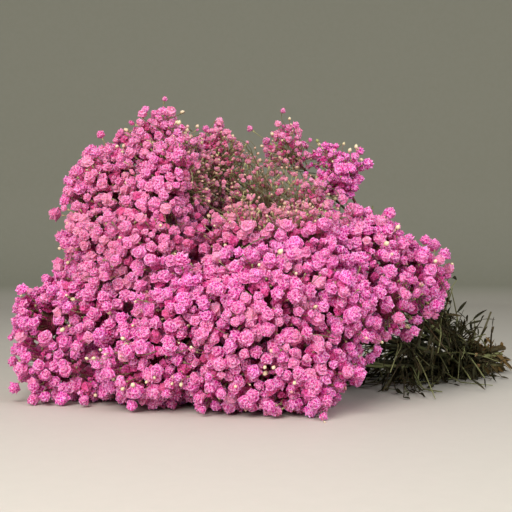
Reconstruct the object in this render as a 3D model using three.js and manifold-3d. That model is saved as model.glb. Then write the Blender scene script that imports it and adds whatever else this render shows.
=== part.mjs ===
// A tied bunch of double-flowered gypsophila (baby's breath) lying on a table.
//
// Every spray is one grown stem that forks towards its heads of blossom. The stems are packed in a hexagon
// where an elastic band holds them, and fan out from there in straight lines, so that none of them cross. A
// head is covered with florets in relief: each floret is a dome over its own cell of a sphere, and creases
// part it from its neighbours. Where two heads meet, each keeps to its own side of the plane between them.
//
// Millimetres, +Z up, the table at z = 0. The bunch lies along X, with its cut ends towards +X.

import * as THREE from "three";
import { ConvexHull } from "three/addons/math/ConvexHull.js";
import { mergeVertices } from "three/addons/utils/BufferGeometryUtils.js";
import Module from "manifold-3d";

const wasm = await Module();
wasm.setup();

const WORLD_UP = new THREE.Vector3(0, 0, 1);

// ---------------------------------------------------------------- driving dimensions

const CLEARANCE = 0.3; // between pieces that touch
const SEED = 1907;

const TIE = { x: 250, width: 9, thickness: 1.7, sides: 18 };
const BUNDLE_PITCH = 6.6; // between the axes of neighbouring stems inside the band
const STEM = { cut: 3.1, tied: 2.95, fork: 2, tip: 1.3, sides: 5 }; // radii along a stem
const CUT_FLARE = 1.35; // how far the cut ends spread behind the band
const FAN_REACH = 560; // distance ahead of the band at which the fan's targets are laid out
const FORK_SHARE = 0.5; // where a stem forks, as a share of the way to its nearest head
const BRANCH_SHARES = [0, 0.45, 1]; // the points along a branch, from the fork to the head

const LEAF = { length: 46, width: 6.4, thickness: 0.9, droop: 7, segments: 2 };
const LEAF_SPREAD = [0.35, 0.9]; // how far the leaves of a pair turn aside from pointing straight outwards
const LEAF_LEAN = [0.6, 1.3]; // how far they lean forwards, for each unit outwards
const LEAF_PLACES = [46, 84]; // distances ahead of the band that carry a pair of leaves
const SHOOT = { root: 1.6, tip: 0.9, sides: 3, droop: 14 };
const SHOOT_PLACES = [-32, 18, 58]; // distances ahead of the band where side shoots leave the stems
const SHOOT_LENGTHS = [74, 92, 108];
const SHOOT_LEANS = [0.5, 0.8, 1.1]; // how far they lean forwards, for each unit outwards
const SHOOT_SPREADS = [-0.55, 0.2, -0.15, 0.6]; // how far they turn aside from pointing straight outwards
const LEAFY_LEAST = 1.5 * BUNDLE_PITCH; // stems further out in the bundle than this carry leaves,
const LEAFY_LOWEST = -0.6; // unless they lie under it, with a smaller sine of their direction than this

const CLOUD_HEART = new THREE.Vector3(-80, 30, 70); // the middle of the cloud of blossom
const FLORET = { radius: 19.6, crease: 10, shoulder: 1.8, shoulderShare: 0.62, footShare: 0.4, unevenness: 5 };
const OPEN_REACH = 1; // a cell is open where no plane cuts the radius to less than this share of it,
const OPEN_FACING = -0.2; // and where it faces away from the cloud's heart with at least this cosine
const HIDDEN_STEP = 5; // where a head faces a neighbour or the cloud's heart, one cell in this many is kept
const FREE_FLORET = { radius: 7.5, least: 7, most: 14, room: 30, twig: 1.5, places: 9 };

// ---------------------------------------------------------------- the sprays
// slot: the stem's place in the tied bundle, as [ring, step round the ring]. cut: how far its cut end stands
// behind the band. heads: the centre and radius of each head of blossom. A head whose radius reaches below the
// table is pressed flat there.

const SPRAYS = [
  { slot: [0, 0], cut: 60, heads: [[-233, 33, 173, 59], [-266, 67, 100, 57]] },
  { slot: [1, 0], cut: 52, heads: [[-234, 124, 250, 53], [-248, 110, 180, 54]] },
  { slot: [1, 1], cut: 63, heads: [[-194, 52, 246, 59], [-75, 51, 235, 54]] },
  { slot: [1, 2], cut: 56, heads: [[-160, -26, 174, 57]] },
  { slot: [1, 3], cut: 64, heads: [[-216, -34, 110, 56]] },
  { slot: [1, 4], cut: 50, heads: [[-238, -2, 53, 58], [-100, 10, 51, 56]] },
  { slot: [1, 5], cut: 58, heads: [[-302, 136, 83, 50], [-310, 107, 42, 47], [-286, 66, 24, 32]] },
  { slot: [2, 0], cut: 54, heads: [[-34, 140, 111, 57], [59, 90, 79, 48]] },
  { slot: [2, 1], cut: 61, heads: [[-146, 143, 206, 58], [-61, 128, 191, 57], [36, 105, 159, 54]] },
  { slot: [2, 2], cut: 49, heads: [[-188, 92, 309, 40], [-111, 87, 280, 48]] },
  { slot: [2, 3], cut: 57, heads: [[27, 17, 271, 36], [-16, 69, 303, 36]] },
  { slot: [2, 4], cut: 64, heads: [[-43, 7, 221, 50]] },
  { slot: [2, 5], cut: 52, heads: [[-107, -78, 166, 57], [-19, -77, 169, 54]] },
  { slot: [2, 6], cut: 60, heads: [[-7, -108, 114, 52], [49, -101, 136, 44]] },
  { slot: [2, 7], cut: 55, heads: [[-168, -99, 111, 59], [-89, -112, 109, 57]] },
  { slot: [2, 8], cut: 62, heads: [[-184, -71, 52, 57], [-133, -118, 49, 54], [-69, -86, 53, 44]] },
  { slot: [2, 9], cut: 47, heads: [[-25, 30, 35, 40]] },
  { slot: [2, 10], cut: 59, heads: [[-221, 152, 51, 56], [-135, 139, 52, 57], [-54, 109, 51, 56]] },
  { slot: [2, 11], cut: 51, heads: [[-207, 166, 117, 57], [-117, 159, 111, 58]] },
];

// ---------------------------------------------------------------- materials

const petalPink = new THREE.MeshStandardMaterial({ color: 0xd56aa6, roughness: 0.85, metalness: 0 });
const stemGreen = new THREE.MeshStandardMaterial({ color: 0x4f5a30, roughness: 0.75, metalness: 0 });
const bandRubber = new THREE.MeshStandardMaterial({ color: 0x9a6b3c, roughness: 0.6, metalness: 0 });

// ---------------------------------------------------------------- helpers

// The mulberry32 generator: the same sequence of numbers from 0 to 1 for the same seed.
function seededRandom(seed) {
  let state = seed >>> 0;
  return () => {
    state = (state + 0x6d2b79f5) >>> 0;
    let mixed = Math.imul(state ^ (state >>> 15), state | 1);
    mixed ^= mixed + Math.imul(mixed ^ (mixed >>> 7), mixed | 61);
    return ((mixed ^ (mixed >>> 14)) >>> 0) / 4294967296;
  };
}

function between([from, to], share) {
  return THREE.MathUtils.lerp(from, to, share);
}

// A closed three.js geometry as a solid that can be joined and cut.
function solidOf(geometry) {
  const bare = geometry.clone();
  bare.deleteAttribute("normal");
  bare.deleteAttribute("uv");
  const merged = mergeVertices(bare, 1e-4);
  return new wasm.Manifold(
    new wasm.Mesh({
      numProp: 3,
      vertProperties: merged.attributes.position.array,
      triVerts: new Uint32Array(merged.index.array),
    }),
  );
}

function meshOf(solid, name, material) {
  const { numProp, numVert, vertProperties, triVerts } = solid.getMesh();
  const positions = new Float32Array(numVert * 3);
  for (let i = 0; i < numVert; i++) {
    positions.set(vertProperties.subarray(i * numProp, i * numProp + 3), i * 3);
  }
  const geometry = new THREE.BufferGeometry();
  geometry.setAttribute("position", new THREE.BufferAttribute(positions, 3));
  geometry.setIndex(new THREE.BufferAttribute(new Uint32Array(triVerts), 1));
  const mesh = new THREE.Mesh(geometry, material);
  mesh.name = name;
  return mesh;
}

function joined(solids) {
  return solids.reduce((whole, solid) => whole.add(solid));
}

// The largest connected body of a solid: cutting can leave loose scraps.
function largestBody(solid) {
  return solid.decompose().reduce((best, body) => (body.volume() > best.volume() ? body : best));
}

// A round limb through the given points: a cylinder whose rings are carried to them, with a radius for each.
function limb(points, radii, sides = STEM.sides) {
  const segments = points.length - 1;
  const geometry = new THREE.CylinderGeometry(1, 1, 1, sides, segments);
  const place = geometry.attributes.position;
  for (let i = 0; i < place.count; i++) {
    const ring = Math.round((0.5 - place.getY(i)) * segments);
    const before = points[Math.max(ring - 1, 0)];
    const after = points[Math.min(ring + 1, segments)];
    const along = after.clone().sub(before).normalize();
    const side = new THREE.Vector3().crossVectors(WORLD_UP, along).normalize();
    const up = new THREE.Vector3().crossVectors(along, side);
    const point = points[ring].clone();
    point.addScaledVector(side, place.getX(i) * radii[ring]).addScaledVector(up, place.getZ(i) * radii[ring]);
    place.setXYZ(i, point.x, point.y, point.z);
  }
  return solidOf(geometry);
}

// ---------------------------------------------------------------- the fan of stems

// The band is a ring of flat facets. The inner ones clear the outermost stems, and the lowest outer one is on
// the table.
const facetHalfAngle = Math.PI / TIE.sides;
const bandInnerRadius = (2 * BUNDLE_PITCH + STEM.tied + CLEARANCE) / Math.cos(facetHalfAngle);
const bandOuterRadius = bandInnerRadius + TIE.thickness;
const tieHeight = bandOuterRadius * Math.cos(facetHalfAngle);

// A slot's place across the bundle: the centre, six round it, and twelve round those.
function slotPlace([ring, step]) {
  if (ring === 0) return new THREE.Vector2(0, 0);
  const corners = Math.floor(step / ring);
  const between = (step % ring) / ring;
  const cornerAt = (n) => new THREE.Vector2(Math.cos((n * Math.PI) / 3), Math.sin((n * Math.PI) / 3));
  return cornerAt(corners).lerp(cornerAt(corners + 1), between).multiplyScalar(ring * BUNDLE_PITCH);
}

// Where a line of the fan is at a distance ahead of the band, for a target laid out at FAN_REACH.
function fanPoint(slot, target, ahead) {
  const share = ahead / FAN_REACH;
  return new THREE.Vector3(
    TIE.x - ahead,
    slot.x + (target.x - slot.x) * share,
    tieHeight + slot.y + (target.y - slot.y) * share,
  );
}

// The target, at FAN_REACH, of the line from a slot to a head's centre.
function targetOf(slot, [x, y, z]) {
  const stretch = FAN_REACH / (TIE.x - x);
  return new THREE.Vector2(slot.x + (y - slot.x) * stretch, slot.y + (z - tieHeight - slot.y) * stretch);
}

// The lines of one spray: the stem, from its cut end past the fork to its first head, and a branch from the
// fork to each other head.
function sprayLines({ slot: place, cut, heads }) {
  const slot = slotPlace(place);
  const targets = heads.map((head) => targetOf(slot, head));
  const mean = targets.reduce((sum, t) => sum.add(t), new THREE.Vector2()).divideScalar(targets.length);
  const forkAhead = Math.min(...heads.map(([x]) => TIE.x - x)) * FORK_SHARE;
  const cutHeight = Math.max(tieHeight + slot.y * CUT_FLARE, STEM.cut + CLEARANCE);
  const cutEnd = new THREE.Vector3(TIE.x + cut, slot.x * CUT_FLARE, cutHeight);
  const [leader, ...branches] = heads.map((head, i) => {
    const ahead = TIE.x - head[0];
    return BRANCH_SHARES.map((share) => {
      const target = mean.clone().lerp(targets[i], THREE.MathUtils.smoothstep(share, 0, 1));
      return fanPoint(slot, target, THREE.MathUtils.lerp(forkAhead, ahead, share));
    });
  });
  const stem = [
    cutEnd,
    fanPoint(slot, slot, -TIE.width),
    fanPoint(slot, slot, TIE.width),
    fanPoint(slot, mean, forkAhead / 2),
    ...leader,
  ];
  return { slot, stem, branches };
}

// A spray's wooden part, with all its radii made larger by `extra`.
function limbsOf({ stem, branches }, extra = 0) {
  const branchRadii = BRANCH_SHARES.map((share) => THREE.MathUtils.lerp(STEM.fork, STEM.tip, share));
  const stemRadii = [STEM.cut, STEM.tied, STEM.tied, (STEM.tied + STEM.fork) / 2, ...branchRadii];
  const larger = (radii) => radii.map((radius) => radius + extra);
  const forks = branches.map((branch) => limb(branch, larger(branchRadii)));
  return joined([limb(stem, larger(stemRadii)), ...forks]);
}

const LINES = SPRAYS.map(sprayLines);

// ---------------------------------------------------------------- the leaves

// A narrow blade that leaves its root along `heading`, flat across `side`, and droops back towards its tip.
function leafBlade(root, heading, side, extra) {
  const { length, width, thickness, droop, segments } = LEAF;
  const geometry = new THREE.BoxGeometry(1, width + 2 * extra, thickness + 2 * extra, segments, 1, 1);
  const place = geometry.attributes.position;
  for (let i = 0; i < place.count; i++) {
    const share = place.getX(i) + 0.5;
    const outline = 0.3 + 2.8 * share * (1 - share) * (1.2 - 0.4 * share);
    place.setXYZ(i, share * (length + extra), place.getY(i) * outline, place.getZ(i) - droop * share * share);
  }
  const up = new THREE.Vector3().crossVectors(heading, side);
  geometry.applyMatrix4(new THREE.Matrix4().makeBasis(heading, side, up).setPosition(root));
  return solidOf(geometry);
}

// Whether a stem is in the outer ring of the bundle and not under it, so that leaves and shoots have room.
function isLeafy(slot) {
  return slot.length() >= LEAFY_LEAST && slot.y / slot.length() >= LEAFY_LOWEST;
}

// A stem's point at a distance ahead of the band, and its direction there.
function stemPlace(stem, ahead) {
  const next = stem.findIndex((point) => point.x <= TIE.x - ahead);
  const [from, to] = [stem[next - 1], stem[next]];
  const root = from.clone().lerp(to, (TIE.x - ahead - from.x) / (to.x - from.x));
  return { root, along: to.clone().sub(from).normalize() };
}

// A direction out of the bundle, turned aside by `spread`, that leans forwards and stays clear of the table.
function headingOf(slot, along, spread, lean, lowest) {
  const bearing = Math.atan2(slot.y, slot.x) + spread;
  const heading = new THREE.Vector3(0, Math.cos(bearing), Math.sin(bearing));
  heading.addScaledVector(along, lean).normalize();
  return heading.setZ(Math.max(heading.z, lowest)).normalize();
}

function sideOf(along, heading) {
  return new THREE.Vector3().crossVectors(along, heading).normalize();
}

// A pair of leaves on a stem of the outer ring. They point out of the bundle and forwards.
function leavesOf({ slot, stem }, spray, random) {
  if (!isLeafy(slot)) return [];
  const { root, along } = stemPlace(stem, LEAF_PLACES[spray % LEAF_PLACES.length]);
  return [-1, 1].map((hand) => {
    const lowest = (LEAF.droop + LEAF.width - root.z) / LEAF.length;
    const spread = hand * between(LEAF_SPREAD, random());
    const heading = headingOf(slot, along, spread, between(LEAF_LEAN, random()), lowest);
    const side = sideOf(along, heading);
    return (extra) => leafBlade(root, heading, side, extra);
  });
}

// The side shoots of a stem of the outer ring: thin limbs that bend down towards their tips, each with a leaf.
function shootsOf({ slot, stem }, spray) {
  if (!isLeafy(slot)) return [];
  return [0, 1].map((turn) => {
    const { root, along } = stemPlace(stem, SHOOT_PLACES[(spray + turn) % 3]);
    const length = SHOOT_LENGTHS[(spray + 2 * turn) % 3];
    const lowest = (SHOOT.droop + 2 * LEAF.width - root.z) / length;
    const lean = SHOOT_LEANS[(2 * spray + turn) % 3];
    const heading = headingOf(slot, along, SHOOT_SPREADS[(spray + 2 * turn) % 4], lean, lowest);
    const points = [0, 0.35, 0.7, 1].map((share) => {
      const point = root.clone().addScaledVector(heading, length * share);
      return point.addScaledVector(WORLD_UP, -SHOOT.droop * share * share);
    });
    const { root: thick, tip } = SHOOT;
    const leafHeading = headingOf(slot, along, -0.4, lean, lowest);
    const side = sideOf(along, leafHeading);
    return (extra) => {
      const radii = [0, 0.35, 0.7, 1].map((share) => THREE.MathUtils.lerp(thick, tip, share) + extra);
      return limb(points, radii, SHOOT.sides).add(leafBlade(points[2], leafHeading, side, extra));
    };
  });
}

// ---------------------------------------------------------------- the heads of blossom

// All heads, each with the planes that it keeps behind: one towards every other head, and the table.
function bloomHeads() {
  const heads = SPRAYS.flatMap(({ heads: places }, spray) =>
    places.map(([x, y, z, radius], i) => {
      return { spray, letter: "abc"[i], centre: new THREE.Vector3(x, y, z), radius };
    }),
  );
  for (const head of heads) {
    head.planes = heads
      .filter((other) => other !== head)
      .map((other) => {
        const normal = other.centre.clone().sub(head.centre);
        const apart = normal.length();
        const distance = (apart ** 2 + head.radius ** 2 - other.radius ** 2) / (2 * apart) - CLEARANCE / 2;
        return { normal: normal.normalize(), distance };
      });
    head.planes.push({ normal: WORLD_UP.clone().negate(), distance: head.centre.z });
  }
  return heads;
}

// How far a head reaches in a direction, up to the wanted distance.
function reachOf(head, direction, wanted) {
  return head.planes.reduce((reach, { normal, distance }) => {
    const facing = normal.dot(direction);
    return facing > 0 ? Math.min(reach, distance / facing) : reach;
  }, wanted);
}

// Directions spread evenly over a sphere along a golden-angle spiral that starts straight down.
function evenDirections(count) {
  const goldenAngle = Math.PI * (3 - Math.sqrt(5));
  return Array.from({ length: count }, (_, i) => {
    const z = (2 * i) / (count - 1) - 1;
    const across = Math.sqrt(1 - z * z);
    return new THREE.Vector3(across * Math.cos(i * goldenAngle), across * Math.sin(i * goldenAngle), z);
  });
}

// The middles of a head's cells: even where the head's surface is open, and sparse where a neighbour hides it.
// The first one points straight down, and is the foot of a head that rests on the table.
function cellDirections(head, random) {
  const count = Math.round((4 * head.radius ** 2) / FLORET.radius ** 2);
  const spin = random() * 2 * Math.PI;
  const directions = evenDirections(count).map((direction) => direction.applyAxisAngle(WORLD_UP, spin));
  const outward = head.centre.clone().sub(CLOUD_HEART).normalize();
  const isOpen = (direction) => {
    const reach = reachOf(head, direction, 2 * head.radius);
    return direction.dot(outward) > OPEN_FACING && reach > OPEN_REACH * head.radius;
  };
  const resting = head.centre.z < head.radius;
  return directions
    .map((direction, i) => ({ direction, open: (resting && i === 0) || isOpen(direction) }))
    .filter(({ open }, i) => open || i % HIDDEN_STEP === 0);
}

// The relief surface of a head. The creases run along the cells' borders. An open cell has a dome with a
// shoulder towards each of its corners; a hidden one is a low pyramid.
function headGeometry(head, random) {
  const cells = cellDirections(head, random);
  const hull = new ConvexHull().setFromPoints(cells.map(({ direction }) => direction));
  const positions = [];
  const indices = [];
  const addVertex = (direction, wanted) => {
    const reach = reachOf(head, direction, wanted);
    positions.push(...head.centre.clone().addScaledVector(direction, reach).toArray());
    return positions.length / 3 - 1;
  };
  const corners = hull.faces.map((face) => {
    const around = [face.getEdge(0), face.getEdge(1), face.getEdge(2)].map((edge) => edge.head().point);
    const vertex = addVertex(face.normal, head.radius - FLORET.crease);
    return { direction: face.normal, around, vertex };
  });
  for (const { direction, open } of cells) {
    const foot = direction.z === -1;
    const lowered = foot ? 0 : FLORET.unevenness * random();
    const height = head.radius - (open ? lowered : FLORET.crease / 2);
    const top = addVertex(direction, height);
    const east = new THREE.Vector3(1, 0.3, 0.2).cross(direction).normalize();
    const north = new THREE.Vector3().crossVectors(direction, east);
    const shoulderShare = foot ? FLORET.footShare : FLORET.shoulderShare;
    const bearing = ({ direction: towards }) => Math.atan2(towards.dot(north), towards.dot(east));
    const ring = corners.filter(({ around }) => around.includes(direction));
    ring.sort((p, q) => bearing(p) - bearing(q));
    const shoulders = ring.map((corner) => {
      if (!open) return top;
      const towards = direction.clone().lerp(corner.direction, shoulderShare).normalize();
      return addVertex(towards, height - FLORET.shoulder);
    });
    ring.forEach((corner, i) => {
      const next = (i + 1) % ring.length;
      indices.push(shoulders[i], corner.vertex, ring[next].vertex);
      if (!open) return;
      indices.push(shoulders[i], ring[next].vertex, shoulders[next]);
      indices.push(top, shoulders[i], shoulders[next]);
    });
  }
  const geometry = new THREE.BufferGeometry();
  geometry.setAttribute("position", new THREE.Float32BufferAttribute(positions, 3));
  geometry.setIndex(indices);
  return geometry;
}

// A floret that stands out from a head on a twig, where the head's own side of the planes has room for it.
function freeFloret(head, random) {
  const { radius, least, most, room, twig, places } = FREE_FLORET;
  const axis = new THREE.Vector3(random() - 0.5, random() - 0.5, random() - 0.5).normalize();
  const turn = random() * 2 * Math.PI;
  return evenDirections(places)
    .map((direction) => direction.applyAxisAngle(axis, turn))
    .filter((direction) => reachOf(head, direction, 2 * head.radius) > head.radius + room)
    .slice(0, 1)
    .flatMap((direction) => {
      const root = head.centre.clone().addScaledVector(direction, head.radius - 2 * FLORET.crease);
      const standOff = between([least, most], random());
      const centre = head.centre.clone().addScaledVector(direction, head.radius + standOff);
      const floret = new THREE.IcosahedronGeometry(radius).translate(...centre.toArray());
      return [solidOf(floret), limb([root, centre], [twig, twig], 3)];
    });
}

// A head's solid, hollowed for the branches that end in it or pass through it.
function headSolid(head, grownLimbs, random) {
  const outlying = head.spray % 2 === 0 || head.letter === "b" ? freeFloret(head, random) : [];
  const whole = joined([solidOf(headGeometry(head, random)), ...outlying]);
  return largestBody(grownLimbs.reduce((solid, limbs) => solid.subtract(limbs), whole));
}

// ---------------------------------------------------------------- the band

function tieBand() {
  const half = TIE.width / 2;
  const [inner, outer] = [bandInnerRadius, bandOuterRadius];
  const section = [[inner, -half], [outer, -half], [outer, half], [inner, half], [inner, -half]];
  const outline = section.map(([r, y]) => new THREE.Vector2(r, y));
  const ring = new THREE.LatheGeometry(outline, TIE.sides, facetHalfAngle);
  ring.rotateZ(Math.PI / 2).translate(TIE.x, 0, tieHeight);
  return solidOf(ring);
}

// ---------------------------------------------------------------- the bunch

const random = seededRandom(SEED);
const bunch = new THREE.Group();
bunch.add(meshOf(tieBand(), "tie_band", bandRubber));

const limbs = LINES.map((lines) => limbsOf(lines));
const grownLimbs = LINES.map((lines) => limbsOf(lines, CLEARANCE));
const leafMakers = LINES.map((lines, spray) => {
  return [...leavesOf(lines, spray, random), ...shootsOf(lines, spray)];
});
const twoDigits = (n) => String(n + 1).padStart(2, "0");

const placedLeaves = [];
limbs.forEach((wood, spray) => {
  const others = grownLimbs.filter((_, other) => other !== spray);
  const leaves = leafMakers[spray].map((make) =>
    [...others, ...placedLeaves].reduce((leaf, other) => leaf.subtract(other), make(0)),
  );
  placedLeaves.push(...leafMakers[spray].map((make) => make(CLEARANCE)));
  bunch.add(meshOf(largestBody(joined([wood, ...leaves])), `spray_${twoDigits(spray)}_stem`, stemGreen));
});

for (const head of bloomHeads()) {
  const name = `spray_${twoDigits(head.spray)}_blooms_${head.letter}`;
  bunch.add(meshOf(headSolid(head, grownLimbs, random), name, petalPink));
}

// The part's origin is under the middle of the whole bunch, on the table.
const reach = new THREE.Box3().setFromObject(bunch);
const middle = reach.getCenter(new THREE.Vector3());
bunch.position.set(-middle.x, -middle.y, -reach.min.z);

export default bunch;
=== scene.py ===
"""A tied bunch of double gypsophila lying on its side: petals, buds, twigs, stalks, leaves, band and stage.

All places come from the frame. Lengths inside the functions are metres; the sprays' layout is in the
millimetres that the construction uses, and is turned into metres once.
"""

import math

import bpy
import numpy as np
from bpy.props import FloatProperty, FloatVectorProperty, PointerProperty
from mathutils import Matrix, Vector
from mathutils.kdtree import KDTree


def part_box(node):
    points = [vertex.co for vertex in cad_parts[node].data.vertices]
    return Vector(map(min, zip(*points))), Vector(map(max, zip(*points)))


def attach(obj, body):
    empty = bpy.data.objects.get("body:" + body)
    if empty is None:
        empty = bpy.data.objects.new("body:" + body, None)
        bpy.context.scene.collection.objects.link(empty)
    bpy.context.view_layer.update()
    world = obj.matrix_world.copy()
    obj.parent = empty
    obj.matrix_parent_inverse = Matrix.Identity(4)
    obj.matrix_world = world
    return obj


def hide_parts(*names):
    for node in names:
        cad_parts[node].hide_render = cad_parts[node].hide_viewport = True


bl_info = {
    "name": "Gypsophila Bunch",
    "version": (1, 0, 0),
    "blender": (4, 5, 0),
    "location": "View3D > Sidebar > Gypsophila",
    "description": "Dresses a packed bunch of gypsophila with blossom, twigs, leaves and a tie",
    "category": "Object",
}

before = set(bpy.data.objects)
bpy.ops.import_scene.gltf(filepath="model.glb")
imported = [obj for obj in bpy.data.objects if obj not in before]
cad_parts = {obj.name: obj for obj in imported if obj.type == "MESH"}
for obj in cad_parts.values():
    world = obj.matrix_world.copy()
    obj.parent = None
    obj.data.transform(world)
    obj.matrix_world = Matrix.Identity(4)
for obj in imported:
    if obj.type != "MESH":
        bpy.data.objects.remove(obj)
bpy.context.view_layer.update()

MM = 0.001
BODY = "root"
SEED = 2711
TABLE_GAP = 0.3 * MM  # the lowest a petal or leaf lies above the table

# ---------------------------------------------------------------- the sprays' layout, in millimetres
# slot: the stem's place in the tied bundle, as (ring, step round the ring). cut: how far its cut end stands
# behind the band. heads: the centre and radius of each head of blossom.

SPRAYS = [
    ((0, 0), 60, [(-233, 33, 173, 59), (-266, 67, 100, 57)]),
    ((1, 0), 52, [(-234, 124, 250, 53), (-248, 110, 180, 54)]),
    ((1, 1), 63, [(-194, 52, 246, 59), (-75, 51, 235, 54)]),
    ((1, 2), 56, [(-160, -26, 174, 57)]),
    ((1, 3), 64, [(-216, -34, 110, 56)]),
    ((1, 4), 50, [(-238, -2, 53, 58), (-100, 10, 51, 56)]),
    ((1, 5), 58, [(-302, 136, 83, 50), (-310, 107, 42, 47), (-286, 66, 24, 32)]),
    ((2, 0), 54, [(-34, 140, 111, 57), (59, 90, 79, 48)]),
    ((2, 1), 61, [(-146, 143, 206, 58), (-61, 128, 191, 57), (36, 105, 159, 54)]),
    ((2, 2), 49, [(-188, 92, 309, 40), (-111, 87, 280, 48)]),
    ((2, 3), 57, [(27, 17, 271, 36), (-16, 69, 303, 36)]),
    ((2, 4), 64, [(-43, 7, 221, 50)]),
    ((2, 5), 52, [(-107, -78, 166, 57), (-19, -77, 169, 54)]),
    ((2, 6), 60, [(-7, -108, 114, 52), (49, -101, 136, 44)]),
    ((2, 7), 55, [(-168, -99, 111, 59), (-89, -112, 109, 57)]),
    ((2, 8), 62, [(-184, -71, 52, 57), (-133, -118, 49, 54), (-69, -86, 53, 44)]),
    ((2, 9), 47, [(-25, 30, 35, 40)]),
    ((2, 10), 59, [(-221, 152, 51, 56), (-135, 139, 52, 57), (-54, 109, 51, 56)]),
    ((2, 11), 51, [(-207, 166, 117, 57), (-117, 159, 111, 58)]),
]

TIE_X = 250
TIE_WIDTH = 9
BUNDLE_PITCH = 6.6
CUT_FLARE = 1.35
FAN_REACH = 560
FORK_SHARE = 0.5
STEM_RADII = {"cut": 3.1, "fork": 2, "tip": 1.3}

band_low, band_high = (np.array(corner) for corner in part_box("tie_band"))
band_centre = (band_low + band_high) / 2
TIE_HEIGHT = band_centre[2] / MM
DESIGN_TO_FRAME = band_centre - np.array([TIE_X, 0, TIE_HEIGHT]) * MM


def placed(points):
    """Millimetres of the layout as metres of the frame."""
    return np.asarray(points, float) * MM + DESIGN_TO_FRAME


def head_names():
    """Every head's node name with its centre and radius in metres."""
    rows = []
    for spray, (_, _, heads) in enumerate(SPRAYS):
        for letter, (x, y, z, radius) in zip("abc", heads):
            name = f"spray_{spray + 1:02d}_blooms_{letter}"
            rows.append((name, placed((x, y, z)), radius * MM))
    return rows


HEADS = head_names()
CENTRES = np.array([centre for _, centre, _ in HEADS])
RADII = np.array([radius for _, _, radius in HEADS])
CLOUD_HEART = CENTRES.mean(axis=0)

BLEND = 7 * MM  # how softly neighbouring heads run into each other
TRIM = 4 * MM  # how far the cloud's surface lies inside the heads' spheres
CANDIDATES = 9  # random places tried for each square of a bloom's width
MOST_MOVED = 26 * MM  # a place that has to move further lies between heads
LEAST_OPEN = 0.28  # the least share of rays that leaves a place in the open
FOOT_HEIGHT = 2 * MM  # a head's underside below this height rests on the table
FOOT_SHARE = 0.3  # of the places on such an underside
MAGENTA_HEAD = "spray_11_blooms_a"

WIDTH_LIMITS = (0.52, 1.4)  # the least and the greatest share of the mean width
SMALLER = {"dusky": 0.44, "young": 0.28}  # how much smaller the blooms are in a region
LOOSER = {"thin": 1.1, "furrow": 0.9, "vivid": 0.15}  # how much further apart
# In the furrow, the duskiness is painted shade.
DUSKIER = {"furrow": 0.8, "young": 0.25, "dull": 0.3}  # how much duskier
DUSK_SPACING = {"outer": 0.35, "deep": 0.7}  # how much further apart the dusky blooms of a layer are
LOOSE_SPACING = {"outer": 1.0, "deep": 2.2}  # and the looser ones
PROUD_SHARE = 0.13  # of the blooms that stand out on longer twigs
PROUD_VIVID = 2.5  # how many times more do so where the blossom is vivid
PROUD_RANGE = (0.4, 1.5)  # how far they stand out, in widths

MEAN_TONE = 0.46  # 0 is vivid, 1 is pale
HEAD_TONES, PATCH_TONES, BLOOM_TONES = 0.10, 0.17, 0.19  # how much heads, patches and blooms differ
FAR_PALER, VIVID_DEEPER = 0.16, 0.2

# Where the sprays are less open: the middle of their top, with small dusky blooms, more buds and bare twigs.
DUSKY_PLACES = [
    (placed((-88, 42, 258)), np.array([118, 88, 66]) * MM),
    (placed((-114, -44, 224)), np.array([98, 80, 42]) * MM),
]

# Where the blossom thins out: over the stems, at the airy top, and at the tips of the lowest far sprays.
THIN_PLACES = [
    (placed((8, -141, 76)), np.array([66, 62, 50]) * MM, 1.05),
    (placed((22, -138, 128)), np.array([62, 46, 60]) * MM, 0.55),
    (placed((-28, 62, 300)), np.array([80, 60, 46]) * MM, 0.7),
    (placed((-338, 96, 74)), np.array([40, 60, 60]) * MM, 0.25),
    (placed((-68, 18, 256)), np.array([52, 52, 40]) * MM, 1.5),
]

THIN_ENOUGH = 0.5  # heads thinner than this aren't packed, so that one sees between their twigs

# The blossom is paler from here to the far side.
FAR_SIDE = placed((0, -10, 0))[1]
FAR_REACH = 110 * MM

# The blossom is duller round here.
DULL_PLACE = placed((-245, 45, 205))
DULL_REACH = np.array([95, 90, 90]) * MM

# It is looser and more vivid round here.
VIVID_PLACE = placed((-320, 80, 60))
VIVID_REACH = np.array([80, 90, 80]) * MM

# The topmost blossom is the youngest: from this height up it grows smaller and a little duskier.
YOUNG_START = placed((0, 0, 200))[2]
YOUNG_REACH = 120 * MM

# A dark furrow between two masses of blossom, as points along its bottom. It is a dent, and its blooms are
# also painted darker and duskier there: painted shade.
FURROW = placed([(-160, 10, 256), (-179, -1, 230), (-197, -20, 209), (-212, -34, 180)])
FURROW_WIDTH = 20 * MM
FURROW_DEPTH = 50 * MM

# Shallow dents beside the peak, which make it pointed.
DENTS = placed([(-209, 107, 340), (-157, 71, 338)])
DENT_WIDTH = 20 * MM
DENT_DEPTH = 22 * MM

# ---------------------------------------------------------------- settings


def length(name, default, description):
    """A length property in metres."""
    limits = {"min": 0, "max": 1.0, "unit": "LENGTH", "precision": 4}
    return FloatProperty(name=name, description=description, default=default, **limits)


def share(name, default, description, high=1.0):
    """A property that is a share of something."""
    limits = {"min": 0, "max": high, "subtype": "FACTOR"}
    return FloatProperty(name=name, description=description, default=default, **limits)


def number(name, default, description, low=0.0, high=1000.0):
    """A property that is a plain number."""
    return FloatProperty(name=name, description=description, default=default, min=low, max=high)


def colour(name, default, description):
    """A colour property: red, green and blue."""
    limits = {"min": 0, "max": 1, "size": 3, "subtype": "COLOR"}
    return FloatVectorProperty(name=name, description=description, default=default, **limits)


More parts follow.
